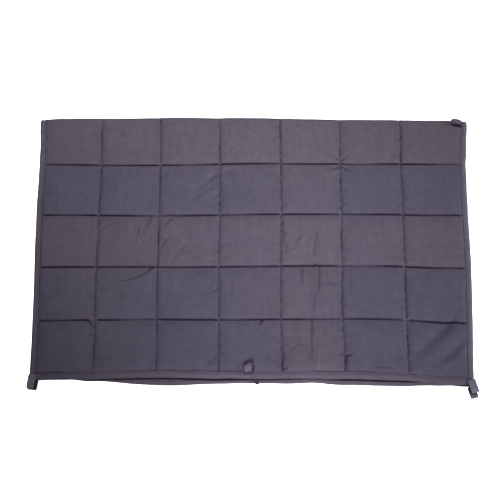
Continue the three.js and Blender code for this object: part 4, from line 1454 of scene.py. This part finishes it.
class BLANKET_OT_sew_quilt(bpy.types.Operator):
    """Makes the bead-filled quilt, folded once"""

    bl_idname = "blanket.sew_quilt"
    bl_label = "Sew quilt"

    def execute(self, context):
        sizes, colours, cloth = workroom(context)
        shares = fine_shares(sizes.square)
        stops = (np.arange(COLUMNS)[:, None] + shares[None]).ravel()
        rim = np.array([RIM_COLUMN, 1])
        column = np.concatenate([-rim[::-1], stops, [COLUMNS], COLUMNS + rim])[:, None]
        crown = np.concatenate([-layer_runs(cloth, shares, cloth.upper_bend), bend_runs(cloth)])
        under = layer_runs(cloth, UNDER_SHARES, cloth.lower_bend)[::-1]
        inner_upper = -layer_runs(cloth, INNER_SHARES, cloth.upper_bend)
        inner_lower = layer_runs(cloth, INNER_SHARES, cloth.lower_bend)[::-1]
        inner = np.concatenate([inner_upper, bend_runs(cloth), inner_lower])
        filling = panel_filling(cloth, column[:, 0], crown, simulate_panel(cloth))
        crown_half = crown_half_thickness(cloth, column, crown[None], filling)
        under_half = under_half_thickness(cloth, column, under[None])
        inner_half = inner_half_thickness(cloth, column, inner[None])
        sections = np.concatenate(
            [
                quilt_points(cloth, column, crown[None], crown_half, 1),
                quilt_points(cloth, column, under[None], under_half, 1),
                quilt_points(cloth, column, inner[None], inner_half, -1)[:, ::-1],
            ],
            axis=1,
        )
        runs = np.concatenate([crown, under, inner[::-1]])[None]
        around = sections.shape[1]
        faces = closed_faces(len(column), around, zip_faces(np.concatenate([crown, under]), inner))
        tones = (colours.cloth, colours.cloth_warm)
        material = woven_cloth("woven_quilt", tones, sizes.weave_pitch, CLOTH_ROUGH, CLOTH_WEAVE_DEPTH)
        quilt = new_piece("sewn_quilt", sections, faces, material, SMOOTH_ALL)
        lay_weave(quilt, cloth.column_x(column, runs), np.broadcast_to(runs, (len(column), around)))
        # The seam mark is painted shade, darkening the cloth's colour in its grooves, creases and edges
        mark_points(quilt, "seam", seam_shade(cloth, column, runs))
        # Painted light with a warmer hue on some squares
        mark_points(quilt, "warmth_and_painted_light", painted_light_and_warmth(cloth, column, runs))
        settle(quilt, "quilt_cloth", "quilt")
        return {"FINISHED"}


class BLANKET_OT_stitch_squares(bpy.types.Operator):
    """Makes the stitches that close the squares"""

    bl_idname = "blanket.stitch_squares"
    bl_label = "Stitch squares"

    def execute(self, context):
        sizes, colours, cloth = workroom(context)
        lines = []
        for layer in (-1, 1):
            run = layer * np.linspace(FOLD_CLEAR["squares"], cloth.seam_runs[-1], COLUMN_POINTS)
            lines += [(np.full(run.shape, seam), run, 0.0) for seam in range(1, COLUMNS)]
            column = np.linspace(0, COLUMNS, ROW_POINTS)
            lines += [(column, np.full(column.shape, layer * seam), 1.0) for seam in cloth.seam_runs[1:-1]]
        # The stitches along X get full painted shade, those along Y none
        rows, deep = [], []
        for column, run, dark in lines:
            point, outward = cloth.at(cloth.column_x(column, run), run)
            rows.append(stitch_row(point, outward, sizes, cloth.thin))
            deep.append(np.full(len(rows[-1][0]), dark))
        thread = sewing_thread("sewing_thread", colours.thread)
        stitches = stitch_piece("square_stitches", rows, sizes, thread, STITCH_SEEDS["squares"])
        deep = np.concatenate(deep)
        mark_points(stitches, "seam", np.repeat(deep, len(stitches.data.vertices) // len(deep)))
        settle(stitches, "quilt_cloth")
        return {"FINISHED"}


class BLANKET_OT_bind_edges(bpy.types.Operator):
    """Makes the four edge bindings and their stitches"""

    bl_idname = "blanket.bind_edges"
    bl_label = "Bind edges"

    def execute(self, context):
        sizes, colours, cloth = workroom(context)
        tones = (colours.binding, toned(colours.binding, BINDING_LIGHT_AND_BLUSH))
        material = woven_cloth("woven_binding", tones, sizes.weave_pitch, CLOTH_ROUGH, CLOTH_WEAVE_DEPTH)
        for side in ("left", "right"):
            node = f"binding_{side}"
            settle(side_binding(cloth, side, f"sewn_{node}", material), "binding_cloth", node)
        for layer in ("upper", "lower"):
            node = f"binding_front_{layer}"
            settle(end_binding(cloth, layer, f"sewn_{node}", material), "binding_cloth", node)
        self.stitch(cloth, sizes)
        return {"FINISHED"}

    def stitch(self, cloth, sizes):
        """Makes the stitches of the bindings."""
        stitched = BINDING_SHARES.index(BINDING_STITCH)
        side_depth, end_depth = BINDING_STITCH * sizes.side_wide, BINDING_STITCH * sizes.binding_wide
        height = binding_section(sizes, sizes.side_wide)[1][stitched]
        rows = []
        for side, inward in (("left", 1), ("right", -1)):
            run = np.linspace(-cloth.half_length + END_START, -FOLD_CLEAR["bindings"], COLUMN_POINTS)
            point, outward = cloth.at(cloth.side_x(side, run) + inward * side_depth, run)
            rows.append(stitch_row(point, outward, sizes, height))
        for edge in (-1, 1):
            run = np.full(ROW_POINTS, edge * (cloth.half_length - end_depth))
            first = cloth.side_x("left", run) + sizes.side_wide + CORNER_CLEAR
            last = cloth.side_x("right", run) - sizes.side_wide - CORNER_CLEAR
            x = first + (last - first) * np.linspace(0, 1, ROW_POINTS)
            point, outward = cloth.at(x, run)
            rows.append(stitch_row(point, -edge * np.sign(outward[:, 2:]) * outward, sizes, height))
        thread = bpy.data.materials["sewing_thread"]
        stitches = stitch_piece("binding_stitches", rows, sizes, thread, STITCH_SEEDS["bindings"])
        settle(stitches, "binding_cloth")


class BLANKET_OT_sew_loops(bpy.types.Operator):
    """Makes the tape loops"""

    bl_idname = "blanket.sew_loops"
    bl_label = "Sew loops"

    def execute(self, context):
        sizes, colours, cloth = workroom(context)
        tones = (colours.tape, toned(colours.tape, TAPE_LIGHT_AND_BLUSH))
        material = woven_cloth("woven_tape", tones, TAPE_WEAVE_PITCH, TAPE_ROUGH, TAPE_WEAVE_DEPTH)
        for loop in LOOPS:
            settle(tape_loop(cloth, loop, material), "loop_tape", loop.node)
        rows = [tack_row(cloth, loop) for loop in LOOPS]
        thread = bpy.data.materials["sewing_thread"]
        tacks = stitch_piece("loop_tacks", rows, sizes, thread, STITCH_SEEDS["loops"])
        settle(tacks, "loop_tape")
        return {"FINISHED"}


class BLANKET_OT_declare_cloth(bpy.types.Operator):
    """Works out the width of the quilt's cloth at its upper open end, and uses it no further"""

    bl_idname = "blanket.declare_cloth"
    bl_label = "Declare cloth"

    def execute(self, context):
        _, _, cloth = workroom(context)
        width = float(cloth.side_x("right", -cloth.half_length) - cloth.side_x("left", -cloth.half_length))
        return {"FINISHED"}


def area_light(lamp):
    """A square soft light on the sphere round its aim, fanning out as through a grid."""
    data = bpy.data.lights.new(lamp.name, "AREA")
    data.size = lamp.side
    data.energy = lamp.power
    data.spread = math.radians(lamp.spread)
    bearing, elevation = math.radians(lamp.bearing), math.radians(lamp.elevation)
    away = Vector((math.sin(bearing), math.cos(bearing), math.tan(elevation))).normalized()
    light = bpy.data.objects.new(lamp.name, data)
    light.location = Vector((*lamp.aim, 0.0)) + LAMP_REACH * away
    light.rotation_mode = "QUATERNION"
    light.rotation_quaternion = (-away).to_track_quat("-Z", "Y")
    bpy.context.scene.collection.objects.link(light)


def photo_camera():
    """Camera at the photograph's place, turned and rolled as it was."""
    right = Vector((1, 0, 0))
    up = Vector((0, math.sin(CAMERA_ELEVATION), math.cos(CAMERA_ELEVATION)))
    back = Vector((0, -math.cos(CAMERA_ELEVATION), math.sin(CAMERA_ELEVATION)))
    turned = Matrix.Rotation(CAMERA_TURN, 3, "Z")
    right, up, back = (turned @ axis for axis in (right, up, back))
    rolled_right = math.cos(CAMERA_ROLL) * right - math.sin(CAMERA_ROLL) * up
    rolled_up = math.sin(CAMERA_ROLL) * right + math.cos(CAMERA_ROLL) * up
    data = bpy.data.cameras.new("photo_camera")
    data.sensor_width = SENSOR_WIDE
    data.lens = CAMERA_FOCUS_PIXELS * SENSOR_WIDE / IMAGE_SIDE
    data.shift_x = (IMAGE_SIDE / 2 - CAMERA_AIM_PIXEL[0]) / IMAGE_SIDE
    data.shift_y = (CAMERA_AIM_PIXEL[1] - IMAGE_SIDE / 2) / IMAGE_SIDE
    data.clip_end = 100.0
    camera = bpy.data.objects.new("photo_camera", data)
    axes = Matrix((rolled_right, rolled_up, back)).transposed()
    camera.matrix_world = Matrix.Translation(CAMERA_AIM + CAMERA_DISTANCE * back) @ axes.to_4x4()
    bpy.context.scene.collection.objects.link(camera)
    bpy.context.scene.camera = camera


class BLANKET_OT_set_stage(bpy.types.Operator):
    """Makes the pale floor, the soft light and the camera"""

    bl_idname = "blanket.set_stage"
    bl_label = "Set stage"

    def execute(self, context):
        scene = context.scene
        corners = [(x * FLOOR_HALF, y * FLOOR_HALF, 0) for x, y in ((-1, -1), (1, -1), (1, 1), (-1, 1))]
        mesh = bpy.data.meshes.new("floor")
        mesh.from_pydata(corners, [], [(0, 1, 2, 3)])
        mesh.materials.append(studio_floor("studio_floor", scene.blanket_colours.floor))
        floor = bpy.data.objects.new("floor", mesh)
        scene.collection.objects.link(floor)
        world = bpy.data.worlds.new("studio_air")
        world.use_nodes = True
        air = world.node_tree.nodes["Background"]
        air.inputs["Color"].default_value = (1.0, 1.0, 1.0, 1.0)
        air.inputs["Strength"].default_value = AIR_GLOW
        scene.world = world
        for lamp in LAMPS:
            area_light(lamp)
        scene.view_settings.view_transform = "Standard"
        photo_camera()
        return {"FINISHED"}


class BLANKET_PT_workshop(bpy.types.Panel):
    """Lists the steps of making the blanket, and its sizes and colours"""

    bl_idname = "BLANKET_PT_workshop"
    bl_label = "Weighted Pet Blanket"
    bl_space_type = "VIEW_3D"
    bl_region_type = "UI"
    bl_category = "Blanket"

    def draw(self, context):
        steps = self.layout.column(align=True)
        for operator in STEPS:
            steps.operator(operator.bl_idname)
        for group in (context.scene.blanket_sizes, context.scene.blanket_colours):
            values = self.layout.column()
            for name in group.__annotations__:
                values.prop(group, name)


GROUPS = {"blanket_sizes": BlanketSizes, "blanket_colours": BlanketColours}
STEPS = [
    BLANKET_OT_sew_quilt,
    BLANKET_OT_stitch_squares,
    BLANKET_OT_bind_edges,
    BLANKET_OT_sew_loops,
    BLANKET_OT_declare_cloth,
    BLANKET_OT_set_stage,
]


def register():
    for name, group in GROUPS.items():
        bpy.utils.register_class(group)
        setattr(bpy.types.Scene, name, bpy.props.PointerProperty(type=group))
    for kind in (*STEPS, BLANKET_PT_workshop):
        bpy.utils.register_class(kind)


def unregister():
    for kind in (BLANKET_PT_workshop, *reversed(STEPS)):
        bpy.utils.unregister_class(kind)
    for name, group in GROUPS.items():
        delattr(bpy.types.Scene, name)
        bpy.utils.unregister_class(group)


def main():
    register()
    bpy.ops.blanket.sew_quilt()
    bpy.ops.blanket.stitch_squares()
    bpy.ops.blanket.bind_edges()
    bpy.ops.blanket.sew_loops()
    bpy.ops.blanket.declare_cloth()
    bpy.ops.blanket.set_stage()


if __name__ == "__main__":
    main()
